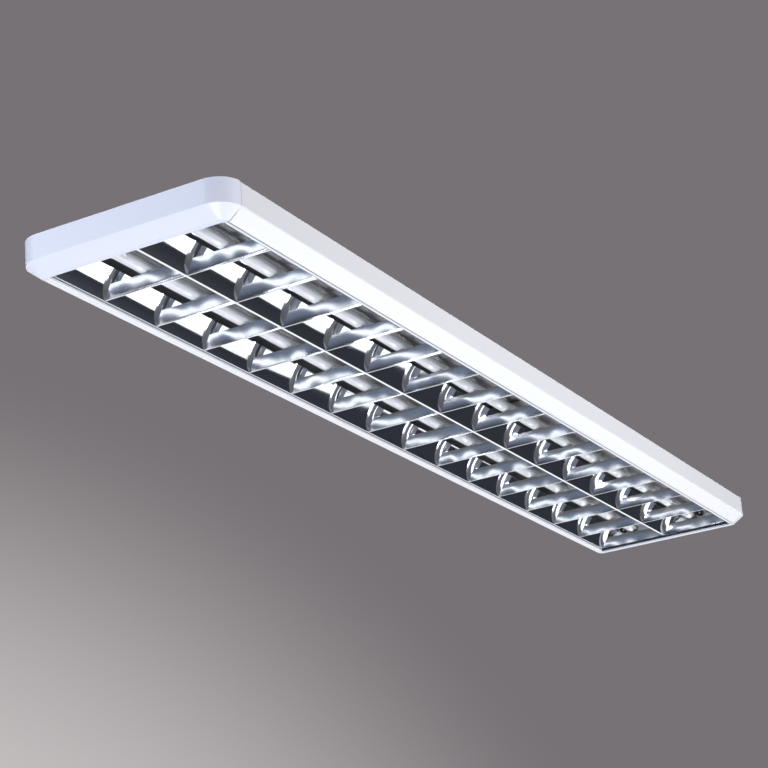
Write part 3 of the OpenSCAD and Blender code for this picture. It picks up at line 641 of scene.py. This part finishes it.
def node_bmesh(node):
    """A merged copy of a frame node's mesh, with its flat faces joined."""
    bm = bmesh.new()
    bm.from_mesh(frame["nodes"][node].data)
    bmesh.ops.remove_doubles(bm, verts=bm.verts, dist=2 * TINY)
    bmesh.ops.dissolve_limit(bm, angle_limit=FLAT, verts=bm.verts, edges=bm.edges)
    return bm


def dress(node, width, segments=2, look=None):
    """A frame node's own shape with edges softened by a width in mm, in its slot's finish or in
    another look."""
    bm = node_bmesh(node)
    slot = next(s["material_slot"] for s in frame["record"]["subparts"] if s["node"] == node)
    soften(bm, width * MM, segments)
    to_object(bm, f"{node}_dressed", finishes()[look or slot], node)


def cut(piece, cutter_bm):
    """Cuts a closed shape out of a piece and keeps the piece's name and place."""
    mesh = bpy.data.meshes.new("cutter")
    cutter_bm.to_mesh(mesh)
    cutter_bm.free()
    cutter = bpy.data.objects.new("cutter", mesh)
    bpy.context.scene.collection.objects.link(cutter)
    boolean = piece.modifiers.new("cut", "BOOLEAN")
    boolean.operation = "DIFFERENCE"
    boolean.solver = "EXACT"
    boolean.object = cutter
    bake(piece)
    bpy.data.objects.remove(cutter)
    bpy.data.meshes.remove(mesh)


def mirrored_outline(right):
    """The outline of a symmetric section from its right half."""
    return right + [(-y, z) for y, z in reversed(right)]


# Housing


def housing_outline(s):
    """Right half of the channel's section, and the bends with their radii."""
    rim_y = s.opening_y + s.lip
    slope = math.atan2(s.crease, HALF_W - rim_y)
    rise = s.crease + s.sheet * math.tan((math.pi / 2 - slope) / 2)
    turn = s.sheet * math.tan(slope / 2)
    half = [
        (HALF_W, 0.0),
        (HALF_W, RIM_Z + s.crease),
        (rim_y, RIM_Z),
        (s.opening_y, RIM_Z),
        (s.opening_y, RIM_Z + s.hem),
        (s.opening_y + s.sheet, RIM_Z + s.hem),
        (s.opening_y + s.sheet, RIM_Z + s.sheet),
        (rim_y - turn, RIM_Z + s.sheet),
        (HALF_W - s.sheet, RIM_Z + rise),
        (HALF_W - s.sheet, -s.sheet),
    ]
    inner = s.bend / 3
    edge = 0.1 * MM
    return half, [s.bend, s.bend, s.bend * 0.8, s.bend * 0.6, edge, edge] + [inner] * 4


def build_housing(s, paint):
    """The folded channel with its bends and holes."""
    half, radii = housing_outline(s)
    start_x = -SEAM_X + s.seam / 2
    bm = outline_prism(
        mirrored_outline(half), lambda y, z: (start_x, y, z), (-2 * start_x, 0, 0),
        list(enumerate(radii + radii[::-1])),
    )
    shell = to_object(bm, "housing_shell", paint, "housing_channel")
    holes = bmesh.new()
    for mount in frame["record"]["mounts"]:
        if mount["kind"] == "bolt_pattern":
            dims = mount["dims"]
            reach_x, reach_y = dims["spacing_x_mm"] / 2 * MM, dims["spacing_y_mm"] / 2 * MM
            for x in (-reach_x, reach_x):
                for y in (-reach_y, reach_y):
                    add_drill(holes, x, y, dims["hole_r_mm"] * MM)
    add_drill(holes, 0, 0, CABLE_R, 48)
    for node in ("end_cap_screws", "gear_screws", "earth_screw"):
        for x, y, radius in screw_places(node):
            add_drill(holes, x, y, radius + SCREW_PLAY)
    cut(shell, holes)
    even_shading(shell)


def screw_places(node):
    """Place and shank radius of each upright screw in a node, read from its topmost points."""
    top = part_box(node)[1].z
    tips = [v.co.copy() for v in frame["nodes"][node].data.vertices if v.co.z > top - TINY]
    places = []
    while tips:
        first = tips[0]
        group = [p for p in tips if (p - first).length < SCREW_REACH]
        tips = [p for p in tips if (p - first).length >= SCREW_REACH]
        low = Vector((min(p.x for p in group), min(p.y for p in group)))
        high = Vector((max(p.x for p in group), max(p.y for p in group)))
        middle = (low + high) / 2
        places.append((middle.x, middle.y, (high.x - low.x) / 2))
    return places


def cap_loop(x0, x_end, y_end, radius, z):
    """Points round an end cap's plan from the seam on one side to the seam on the other."""
    points = [(x0, -y_end)]
    for side in (-1, 1):
        for i in range(CORNER_STEPS + 1):
            turn = math.pi / 2 * i / CORNER_STEPS
            across, along = math.cos(turn), math.sin(turn)
            if side > 0:
                across, along = along, across
            x, y = x_end - radius + radius * along, y_end - radius + radius * across
            points.append((x, side * y))
    points.append((x0, y_end))
    return [Vector((x, y, z)) for x, y in points]


def build_cap(s, plastic, end):
    """One moulded end cap: bridged loops up its outside and inside, closed along the opening and
    the seam, with a tongue under the channel's top sheet."""
    seam = SEAM_X + s.seam / 2
    rim_x = s.opening_x + s.lip
    rim_y = s.opening_y + s.lip
    wall = s.cap_wall
    half_slope = math.atan2(s.crease, HALF_W - rim_y) / 2
    low = wall * math.tan(half_slope)
    inner_crease = s.crease + wall * math.tan(math.pi / 4 - half_slope)
    loops = [
        cap_loop(seam, s.opening_x, s.opening_y, OPENING_CORNER, RIM_Z),
        cap_loop(seam, rim_x, rim_y, s.rim_corner, RIM_Z),
        cap_loop(seam, HALF_L, HALF_W, s.upright_corner, RIM_Z + s.crease),
        cap_loop(seam, HALF_L, HALF_W, s.upright_corner, 0.0),
        cap_loop(seam, HALF_L - wall, HALF_W - wall, s.upright_corner - wall, -wall),
        cap_loop(
            seam, HALF_L - wall, HALF_W - wall, s.upright_corner - wall, RIM_Z + inner_crease
        ),
        cap_loop(seam, rim_x - low, rim_y - low, s.rim_corner - wall / 2, RIM_Z + wall),
        cap_loop(seam, s.opening_x, s.opening_y, OPENING_CORNER, RIM_Z + wall),
    ]
    bm = bmesh.new()
    rings = [[bm.verts.new(p) for p in loop] for loop in loops]
    chains = [[bm.edges.new(pair) for pair in zip(ring, ring[1:])] for ring in rings]
    for one, two in ((0, 1), (1, 2), (2, 3), (4, 5), (5, 6), (6, 7), (7, 0)):
        bmesh.ops.bridge_loops(bm, edges=chains[one] + chains[two])
    bm.faces.new(rings[3])
    bm.faces.new(rings[4])
    outside, inside = rings[:4], rings[:3:-1]
    for tip in (0, -1):
        for (a, b), (c, d) in zip(zip(outside, outside[1:]), zip(inside, inside[1:])):
            bm.faces.new([a[tip], b[tip], d[tip], c[tip]])
    bm.faces.new([rings[3][0], rings[3][-1], rings[4][-1], rings[4][0]])
    bmesh.ops.recalc_face_normals(bm, faces=bm.faces)
    levels = (RIM_Z, RIM_Z + s.crease, 0.0)
    outer = set(v for ring in outside for v in ring)
    creases = [
        e for e in bm.edges if all(v in outer for v in e.verts) and len(e.link_faces) == 2
        and e.calc_face_angle(0.0) > CREASE
        and any(all(abs(v.co.z - z) < TINY for v in e.verts) for z in levels)
        and not all(abs(v.co.x - seam) < TINY for v in e.verts) and e not in chains[0]
    ]
    round_edges(bm, creases, s.cap_round, 4)
    add_box(
        bm, (TONGUE_X, -TONGUE_Y, -s.sheet - wall), (seam + TONGUE_REACH, TONGUE_Y, -s.sheet)
    )
    if end < 0:
        bmesh.ops.scale(bm, verts=bm.verts, vec=(-1, 1, 1))
        bmesh.ops.reverse_faces(bm, faces=bm.faces)
    name = ENDS[0] if end < 0 else ENDS[1]
    to_object(bm, f"end_cap_{name}_moulding", plastic, f"end_cap_{name}")


# Louvre


def arc(centre, radius, start, end, steps):
    """Points of an arc in a plane, angles in radians."""
    return [
        (centre[0] + radius * math.cos(start + (end - start) * i / steps),
         centre[1] + radius * math.sin(start + (end - start) * i / steps))
        for i in range(steps + 1)
    ]


def mirror_flank(s, foot, side):
    """A long mirror's hollow face, top flange and back, above a foot at this distance from the
    middle. Side is 1 where the face leans towards the middle and -1 where it leans away."""
    radius, sheet = s.mirror_radius, s.mirror_sheet
    tilt = math.radians(s.mirror_tilt)
    centre = (-radius * math.cos(tilt), LOUVRE_Z - radius * math.sin(tilt))
    back = radius + sheet
    top = math.asin((MIRROR_TOP - centre[1]) / radius)
    back_low = math.asin((LOUVRE_Z + sheet - centre[1]) / back)
    back_top = math.asin((MIRROR_TOP - sheet - centre[1]) / back)
    face = arc(centre, radius, tilt, top, MIRROR_STEPS)
    edge = face[-1][0] + s.top_flange
    flange = [(edge, MIRROR_TOP), (edge, MIRROR_TOP - sheet)]
    behind = arc(centre, back, back_top, back_low, MIRROR_STEPS)
    return [(foot + side * y, z) for y, z in face + flange + behind]


def spine_foot_y(s):
    """Half the width of the middle mirror's foot, worked back from its top edge."""
    return SPINE_TOP_Y - mirror_run(s, MIRROR_TOP)


def mirror_run(s, z):
    """How far a long mirror's face leans over its foot at a height."""
    tilt = math.radians(s.mirror_tilt)
    rise = (z - LOUVRE_Z) / s.mirror_radius + math.sin(tilt)
    return s.mirror_radius * (math.cos(tilt) - math.sqrt(max(0.0, 1 - rise * rise)))


def row_ends(s, z):
    """Distances from the middle of the two mirror faces of a row at a height."""
    return spine_foot_y(s) + mirror_run(s, z), SIDE_OUT_Y - s.side_hem - mirror_run(s, z)


def build_mirrors(s, mirror):
    """The middle mirror, with two hollow flanks, and the outer mirrors, with a hem below."""
    def along(y, z):
        return (-MIRROR_X, y, z)

    run = (2 * MIRROR_X, 0, 0)
    bm = outline_prism(mirrored_outline(mirror_flank(s, spine_foot_y(s), -1)), along, run)
    to_object(bm, "spine_mirror", mirror, "spine_reflector")
    hem = [(SIDE_OUT_Y, LOUVRE_Z + s.mirror_sheet), (SIDE_OUT_Y, LOUVRE_Z)]
    outline = mirror_flank(s, SIDE_OUT_Y - s.side_hem, 1) + hem
    for side, name in ((1, "left"), (-1, "right")):
        bm = outline_prism([(side * y, z) for y, z in outline], along, run)
        to_object(bm, f"side_mirror_{name}", mirror, f"side_reflector_{name}")


def blade_flank(s, radius, foot, low):
    """Offsets from a blade's middle plane, with heights, along one flank's arc from low up to the
    blade's top."""
    tilt = math.radians(s.blade_tilt)
    centre_x = foot + s.blade_radius * math.cos(tilt)
    centre_z = LOUVRE_Z - s.blade_radius * math.sin(tilt)
    start = math.asin((low - centre_z) / radius)
    end = math.asin((BLADE_TOP - centre_z) / radius)
    return arc((centre_x, centre_z), radius, math.pi - start, math.pi - end, BLADE_STEPS)


def add_blade(bm, s, x, side, outline):
    """A sheet with a closed outline in X and height, run across a row up to its mirror faces."""
    blade = outline_prism(outline, lambda a, z: (x + a, 0.0, z), (0, 1, 0))
    for v in blade.verts:
        inner, outer = row_ends(s, v.co.z)
        v.co.y = side * (inner + BLADE_GAP if v.co.y < 0.5 else outer - BLADE_GAP)
    bmesh.ops.triangulate(blade, faces=[f for f in blade.faces if len(f.verts) > 4])
    bmesh.ops.recalc_face_normals(blade, faces=blade.faces)
    scratch = bpy.data.meshes.new("blade")
    blade.to_mesh(scratch)
    blade.free()
    bm.from_mesh(scratch)
    bpy.data.meshes.remove(scratch)


def build_blades(s, mirror):
    """The cross blades, each folded from one sheet and present in both rows."""
    sheet = s.mirror_sheet
    outer = blade_flank(s, s.blade_radius, s.blade_foot, LOUVRE_Z)
    inner = blade_flank(s, s.blade_radius + sheet, s.blade_foot, LOUVRE_Z + sheet)
    outline = mirrored_outline(outer + inner[::-1])
    for node in BLADES:
        low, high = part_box(node)
        bm = bmesh.new()
        for side in (1, -1):
            add_blade(bm, s, (low.x + high.x) / 2, side, outline)
        to_object(bm, f"{node}_mirror", mirror, node)


def build_rails(s, mirror):
    """The end rails: a plate across both rows, half a blade in each row, and a lip below."""
    sheet = s.mirror_sheet
    outer = blade_flank(s, s.blade_radius, 0.0, LOUVRE_Z)
    inner = blade_flank(s, s.blade_radius + sheet, 0.0, LOUVRE_Z)
    rise = BLADE_TOP - LOUVRE_Z
    heights = [LOUVRE_Z + rise * i / RAIL_STEPS for i in range(RAIL_STEPS + 1)]
    reach = [(row_ends(s, z)[1] - RAIL_GAP, z) for z in heights]
    for end, name in ((-1, "near"), (1, "far")):
        bm = outline_prism(
            mirrored_outline(reach), lambda y, z: (end * MIRROR_X, y, z), (end * sheet, 0, 0)
        )
        outline = [(-end * a, z) for a, z in outer + inner[::-1]]
        for side in (1, -1):
            add_blade(bm, s, end * MIRROR_X, side, outline)
        lip = lip_reach(s, name)
        edges = sorted((end * (MIRROR_X + sheet / 2), end * RAIL_OUT_X))
        add_box(bm, (edges[0], -lip, LOUVRE_Z), (edges[1], lip, LOUVRE_Z + sheet))
        to_object(bm, f"end_rail_{name}_mirror", mirror, f"end_rail_{name}")


def lip_reach(s, name):
    """Half the length of an end rail's lip, read from the frame."""
    points = [v.co for v in frame["nodes"][f"end_rail_{name}"].data.vertices]
    return max(abs(p.y) for p in points if abs(p.x) > RAIL_OUT_X - s.mirror_sheet)


# Lamps


def build_lamps(s, glass, metal):
    """Two lamps, each of a glass tube and a pair of caps."""
    for name, side in (("left", 1), ("right", -1)):
        bm = bmesh.new()
        add_rod(bm, -TUBE_X, TUBE_X, side * LAMP_Y, LAMP_Z, LAMP_R - GLASS_STEP, s.rod_detail)
        to_object(bm, f"lamp_glass_{name}", glass, f"lamp_tube_{name}")
        bm = bmesh.new()
        for end in (-1, 1):
            build_lamp_cap(bm, s, end, side * LAMP_Y)
        to_object(bm, f"lamp_cap_{name}", metal, f"lamp_caps_{name}")


def build_lamp_cap(bm, s, end, y):
    """A drawn metal cap with a rolled groove, an insulating disc and two pins."""
    start, face = TUBE_X, HOLDER_X - CAP_PLAY
    profile = (
        (start, LAMP_R - 0.2 * MM), (start + 0.4 * MM, LAMP_R), (start + 2.2 * MM, LAMP_R),
        (start + 2.7 * MM, LAMP_R - 0.35 * MM), (start + 3.2 * MM, LAMP_R),
        (face - 1.0 * MM, LAMP_R), (face, LAMP_R - 1.0 * MM), (face, LAMP_R - 2.6 * MM),
        (face - 0.4 * MM, LAMP_R - 2.8 * MM), (face - 0.4 * MM, 0.02 * MM),
    )
    spin_profile(bm, [(end * x, r) for x, r in profile], y, LAMP_Z, s.rod_detail)
    root, tip = end * (face - PIN_ROOT), end * PIN_END_X
    for side in (-1, 1):
        verts = add_rod(bm, root, tip, y + side * PIN_STEP, LAMP_Z, PIN_R, 16)
        ring = [v for v in verts if abs(v.co.x - tip) < TINY]
        round_edges(bm, [e for e in bm.edges if all(v in ring for v in e.verts)], PIN_ROUND, 2)


# Fasteners


def build_fasteners(nylon, metal):
    """Round knobs, each with a bright core in the hollow of its front."""
    # Places forward of the hollow's floor and radii of the core, in mm
    core = ((-0.3, 2.55), (0.35, 2.5), (0.9, 1.7), (1.0, 0.02))
    for corner in CORNERS:
        low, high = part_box(f"fastener_{corner}")
        end = 1 if corner.startswith("far") else -1
        radius, z = (high.z - low.z) / 2, (high.z + low.z) / 2
        y = low.y + radius if corner.endswith("left") else high.y - radius
        floor = end * (min(abs(low.x), abs(high.x)) + KNOB_HOLLOW)
        bm = node_bmesh(f"fastener_{corner}")
        soften(bm, 0.4 * MM, 3)
        to_object(bm, f"fastener_{corner}_knob", nylon, f"fastener_{corner}")
        bm = bmesh.new()
        spin_profile(bm, [(floor - end * x * MM, r * MM) for x, r in core], y, z, 32)
        to_object(bm, f"fastener_{corner}_core", metal, (), f"fastener_{corner}")


# Operators


LOOKS = {}


def finishes():
    """Every finish by name, made once."""
    c = bpy.context.scene.louvre_light_colours
    opening = bpy.context.scene.louvre_light_sizes.opening_y
    if not LOOKS:
        LOOKS.update(
            # The enamel gets painted shade inside the channel and painted shadow lines along the
            # -Y lip
            white_enamel=enamel_finish(
                "enamel_and_painted_shade_look", c.enamel, c.painted_inside_shade, (opening, opening + SHADOW_STEP)
            ),
            cap_plastic=moulding_finish("cap_look", c.cap),
            mirror_aluminium=mirror_finish("mirror_look", c.mirror),
            blade_aluminium=mirror_finish(
                "blade_look", c.mirror, grain_axis=1, ripple_depth=7.0 * MM, row_bow=5.5 * MM,
                rough=0.13,
            ),
            plate_aluminium=satin_finish("plate_look", c.mirror),
            zinc_steel=zinc_finish("zinc_look", c.zinc),
            screw_steel=turned_finish("screw_look", c.zinc),
            holder_plastic=moulding_finish("holder_look", c.holder, 0.32),
            fastener_plastic=moulding_finish("nylon_look", c.nylon, 0.28, 700.0),
            lamp_glass=glass_finish("glass_look", c.lamp),
            cap_metal=turned_finish("cap_metal_look", c.lamp_cap, 0.22),
            grommet_rubber=rubber_finish("rubber_look"),
            block_plastic=moulding_finish("ivory_look", c.ivory, 0.42),
            button_plastic=moulding_finish("orange_look", c.orange, 0.38),
            earth_brass=turned_finish("brass_look", c.brass, 0.25),
            gear_enamel=enamel_finish("gear_look", c.gear),
            board_laminate=board_finish("board_look", c.board),
            wire_brown=wire_finish("brown_look", c.supply_wire),
            wire_green=wire_finish("green_look", c.earth_wire, c.earth_stripe),
            wire_white=wire_finish("white_look", c.lamp_wire),
        )
    return LOOKS


class LIGHT_OT_housing(bpy.types.Operator):
    """Build the folded housing channel with its bends and holes"""

    bl_idname = "louvre_light.housing"
    bl_label = "Housing"

    def execute(self, context):
        build_housing(context.scene.louvre_light_sizes, finishes()["white_enamel"])
        return {"FINISHED"}


class LIGHT_OT_caps(bpy.types.Operator):
    """Build the two moulded end caps"""

    bl_idname = "louvre_light.caps"
    bl_label = "End caps"

    def execute(self, context):
        for end in (-1, 1):
            build_cap(context.scene.louvre_light_sizes, finishes()["cap_plastic"], end)
        return {"FINISHED"}


class LIGHT_OT_mirrors(bpy.types.Operator):
    """Build the three long mirrors of the louvre"""

    bl_idname = "louvre_light.mirrors"
    bl_label = "Long mirrors"

    def execute(self, context):
        build_mirrors(context.scene.louvre_light_sizes, finishes()["mirror_aluminium"])
        return {"FINISHED"}


class LIGHT_OT_blades(bpy.types.Operator):
    """Build the cross blades and the end rails of the louvre"""

    bl_idname = "louvre_light.blades"
    bl_label = "Cross blades"

    def execute(self, context):
        sizes = context.scene.louvre_light_sizes
        build_blades(sizes, finishes()["blade_aluminium"])
        build_rails(sizes, finishes()["blade_aluminium"])
        return {"FINISHED"}


class LIGHT_OT_lamps(bpy.types.Operator):
    """Build the two lamps with their caps and pins"""

    bl_idname = "louvre_light.lamps"
    bl_label = "Lamps"

    def execute(self, context):
        looks = finishes()
        build_lamps(context.scene.louvre_light_sizes, looks["lamp_glass"], looks["cap_metal"])
        return {"FINISHED"}


class LIGHT_OT_fasteners(bpy.types.Operator):
    """Build the round fasteners of the end plates"""

    bl_idname = "louvre_light.fasteners"
    bl_label = "Fasteners"

    def execute(self, context):
        build_fasteners(finishes()["fastener_plastic"], finishes()["screw_steel"])
        return {"FINISHED"}


class LIGHT_OT_inside(bpy.types.Operator):
    """Dress the brackets, lampholders, plates and gear inside the housing"""

    bl_idname = "louvre_light.inside"
    bl_label = "Inside"

    def execute(self, context):
        looks = finishes()
        for record in frame["record"]["subparts"]:
            node = frame["nodes"][record["node"]]
            node.data.materials.clear()
            node.data.materials.append(looks[record["material_slot"]])
        for end in ENDS:
            dress(f"end_bracket_{end}", 0.2)
        for corner in CORNERS:
            dress(f"lampholder_{corner}", 0.5, 3)
            dress(f"end_plate_{corner}", 0.15, look="plate_aluminium")
            dress(f"rotor_{corner}", 0.25)
        for node, width in (
            ("terminal_block", 0.3), ("ballast_case", 0.2), ("ballast_terminals", 0.4),
            ("cable_grommet", 0.3), ("end_cap_screws", 0.3), ("gear_screws", 0.3),
            ("earth_screw", 0.25), ("louvre_pins", 0.4), ("ballast_board", 0.2),
            ("terminal_button_1", 0.4), ("terminal_button_2", 0.4), ("terminal_button_3", 0.4),
        ):
            dress(node, width)
        return {"FINISHED"}


class LIGHT_OT_stage(bpy.types.Operator):
    """Set up the floor, the soft lights and the camera"""

    bl_idname = "louvre_light.stage"
    bl_label = "Studio"

    def execute(self, context):
        build_floor(context.scene.louvre_light_colours)
        build_sky()
        build_lights()
        build_camera()
        return {"FINISHED"}


# Studio

# The floor lies this far below the light and reaches as far out, so that it stays under every view
FLOOR_DROP = 4.8

# Each part of the surroundings: a direction, and the colour at two cosines of the angle to it
SKY = (
    ((0.834, 0.432, 0.343), ((0.72, (0.03, 0.033, 0.042)), (0.93, (0.185, 0.168, 0.178)))),
    ((0.70, 0.70, -0.05), ((0.905, (0.0, 0.0, 0.0)), (1.0, (0.50, 0.48, 0.47)))),
    ((-0.66, 0.42, -0.62), ((0.80, (0.0, 0.0, 0.0)), (1.0, (0.10, 0.125, 0.18)))),
    ((-0.30, -0.90, -0.30), ((0.25, (0.0, 0.0, 0.0)), (0.95, (0.24, 0.24, 0.26)))),
)

# Each light: name, place, target, size in metres, power in watts, tint, and spread in degrees
SOFTBOXES = (
    ("front_softbox", (-2.7, 1.6, 0.4), (-0.75, 0, 0), (1.2, 1.2), 10.2, (0.82, 0.87, 1.0), 90),
    ("left_softbox", (-1.5, 0.0, -2.0), (-0.5, 0, 0), (0.9, 0.9), 10.1, (0.90, 0.92, 1.0), 90),
    ("right_softbox", (0.3, -2.5, -0.25), (0.1, 0, 0), (2.4, 0.8), 21.3, (0.97, 0.97, 1.0), 100),
    ("under_softbox", (0.9, -0.1, -1.2), (0.7, -0.05, 0), (0.9, 1.2), 4.6, (0.96, 0.98, 1.0), 120),
    ("tall_softbox", (-1.95, 1.0, -1.0), (-0.3, 0, 0), (0.22, 1.6), 1.2, (0.92, 0.96, 1.0), 160),
    ("foot_softbox", (2.6, 1.5, -1.2), (0, 0, 0), (2.4, 1.8), 14.0, (0.94, 0.97, 1.0), 180),
    ("top_softbox", (-0.5, 0.3, 4.2), (0, 0, 0), (4.0, 4.0), 95.0, (1.0, 1.0, 1.0), 150),
)


def build_floor(c):
    """A pale round floor well below the light."""
    bm = bmesh.new()
    drop = Matrix.Translation((0, 0, -FLOOR_DROP))
    bmesh.ops.create_circle(bm, cap_ends=True, segments=96, radius=FLOOR_DROP, matrix=drop)
    mesh = bpy.data.meshes.new("floor")
    bm.to_mesh(mesh)
    bm.free()
    g = new_look("floor_paint")
    clouds = g.noise(1.5, detail=3.0)
    tone = g.mix(clouds * 0.5, c.backdrop, shade(c.backdrop, 0.93))
    mesh.materials.append(g.finish(base_color=tone, roughness=0.7))
    floor = bpy.data.objects.new("floor", mesh)
    bpy.context.scene.collection.objects.link(floor)


def build_sky():
    """Surroundings made of soft patches of light, with a backdrop lighter at the lower left."""
    world = bpy.data.worlds.new("studio")
    bpy.context.scene.world = world
    g = Graph(world)
    ray = g.node("ShaderNodeTexCoord").outputs["Generated"]
    total = None
    for direction, stops in SKY:
        toward = {0: ray, 1: Vector(direction).normalized()}
        dot = g.node("ShaderNodeVectorMath", {"operation": "DOT_PRODUCT"}, toward)
        ramp = g.node("ShaderNodeValToRGB", {"stops": stops}, {0: dot.outputs["Value"]})
        patch = ramp.outputs[0]
        if total is not None:
            both = {0: 1.0, 6: total, 7: patch}
            patch = g.node(
                "ShaderNodeMix", {"data_type": "RGBA", "blend_type": "ADD"}, both
            ).outputs[2]
        total = patch
    g.put(g.tree.nodes["Background"].inputs["Color"], total)


def build_lights():
    """Soft area lights that the camera doesn't see."""
    for name, place, target, size, power, tint, spread in SOFTBOXES:
        light = bpy.data.lights.new(name, "AREA")
        light.shape = "RECTANGLE"
        light.size, light.size_y = size
        light.energy = power
        light.color = tint
        light.spread = math.radians(spread)
        lamp = bpy.data.objects.new(name, light)
        lamp.location = place
        lamp.visible_camera = False
        aim = Vector(target) - Vector(place)
        lamp.rotation_euler = aim.to_track_quat("-Z", "Y").to_euler()
        bpy.context.scene.collection.objects.link(lamp)


# The camera's place and turn, and its focal length in millimetres
CAMERA_PLACE = (-2.3927, -1.1380, -0.9386)
CAMERA_QUATERNION = (0.47641, 0.71798, -0.39470, -0.31897)
LENS = 99.995


def build_camera():
    """A 36 mm camera at the viewing angle worked out from the housing's edges."""
    data = bpy.data.cameras.new("camera")
    data.sensor_width = 36.0
    data.lens = LENS
    data.clip_end = 100.0
    camera = bpy.data.objects.new("camera", data)
    camera.rotation_mode = "QUATERNION"
    camera.location = CAMERA_PLACE
    camera.rotation_quaternion = CAMERA_QUATERNION
    bpy.context.scene.collection.objects.link(camera)
    bpy.context.scene.camera = camera
    bpy.context.scene.view_settings.view_transform = "Standard"


class LIGHT_PT_panel(bpy.types.Panel):
    """Lists the steps that build the light."""

    bl_label = "Louvre light"
    bl_idname = "LIGHT_PT_panel"
    bl_space_type = "VIEW_3D"
    bl_region_type = "UI"
    bl_category = "Louvre light"

    def draw(self, context):
        for step in STEPS:
            self.layout.operator(step.bl_idname)
        for group in (context.scene.louvre_light_sizes, context.scene.louvre_light_colours):
            for key in group.__annotations__:
                self.layout.prop(group, key)


STEPS = (
    LIGHT_OT_housing, LIGHT_OT_caps, LIGHT_OT_mirrors, LIGHT_OT_blades, LIGHT_OT_lamps,
    LIGHT_OT_inside, LIGHT_OT_fasteners, LIGHT_OT_stage,
)
CLASSES = (LightSizes, LightColours, *STEPS, LIGHT_PT_panel)


def register():
    for cls in CLASSES:
        bpy.utils.register_class(cls)
    bpy.types.Scene.louvre_light_sizes = bpy.props.PointerProperty(type=LightSizes)
    bpy.types.Scene.louvre_light_colours = bpy.props.PointerProperty(type=LightColours)


def unregister():
    del bpy.types.Scene.louvre_light_colours
    del bpy.types.Scene.louvre_light_sizes
    for cls in reversed(CLASSES):
        bpy.utils.unregister_class(cls)


def main():
    """Registers the add-on and builds every group of pieces."""
    register()
    for step in STEPS:
        name = step.bl_idname.split(".")[1]
        if getattr(bpy.ops.louvre_light, name)() != {"FINISHED"}:
            raise RuntimeError(f"{step.bl_label} could not be built")
    bpy.context.view_layer.update()


if __name__ == "__main__":
    main()
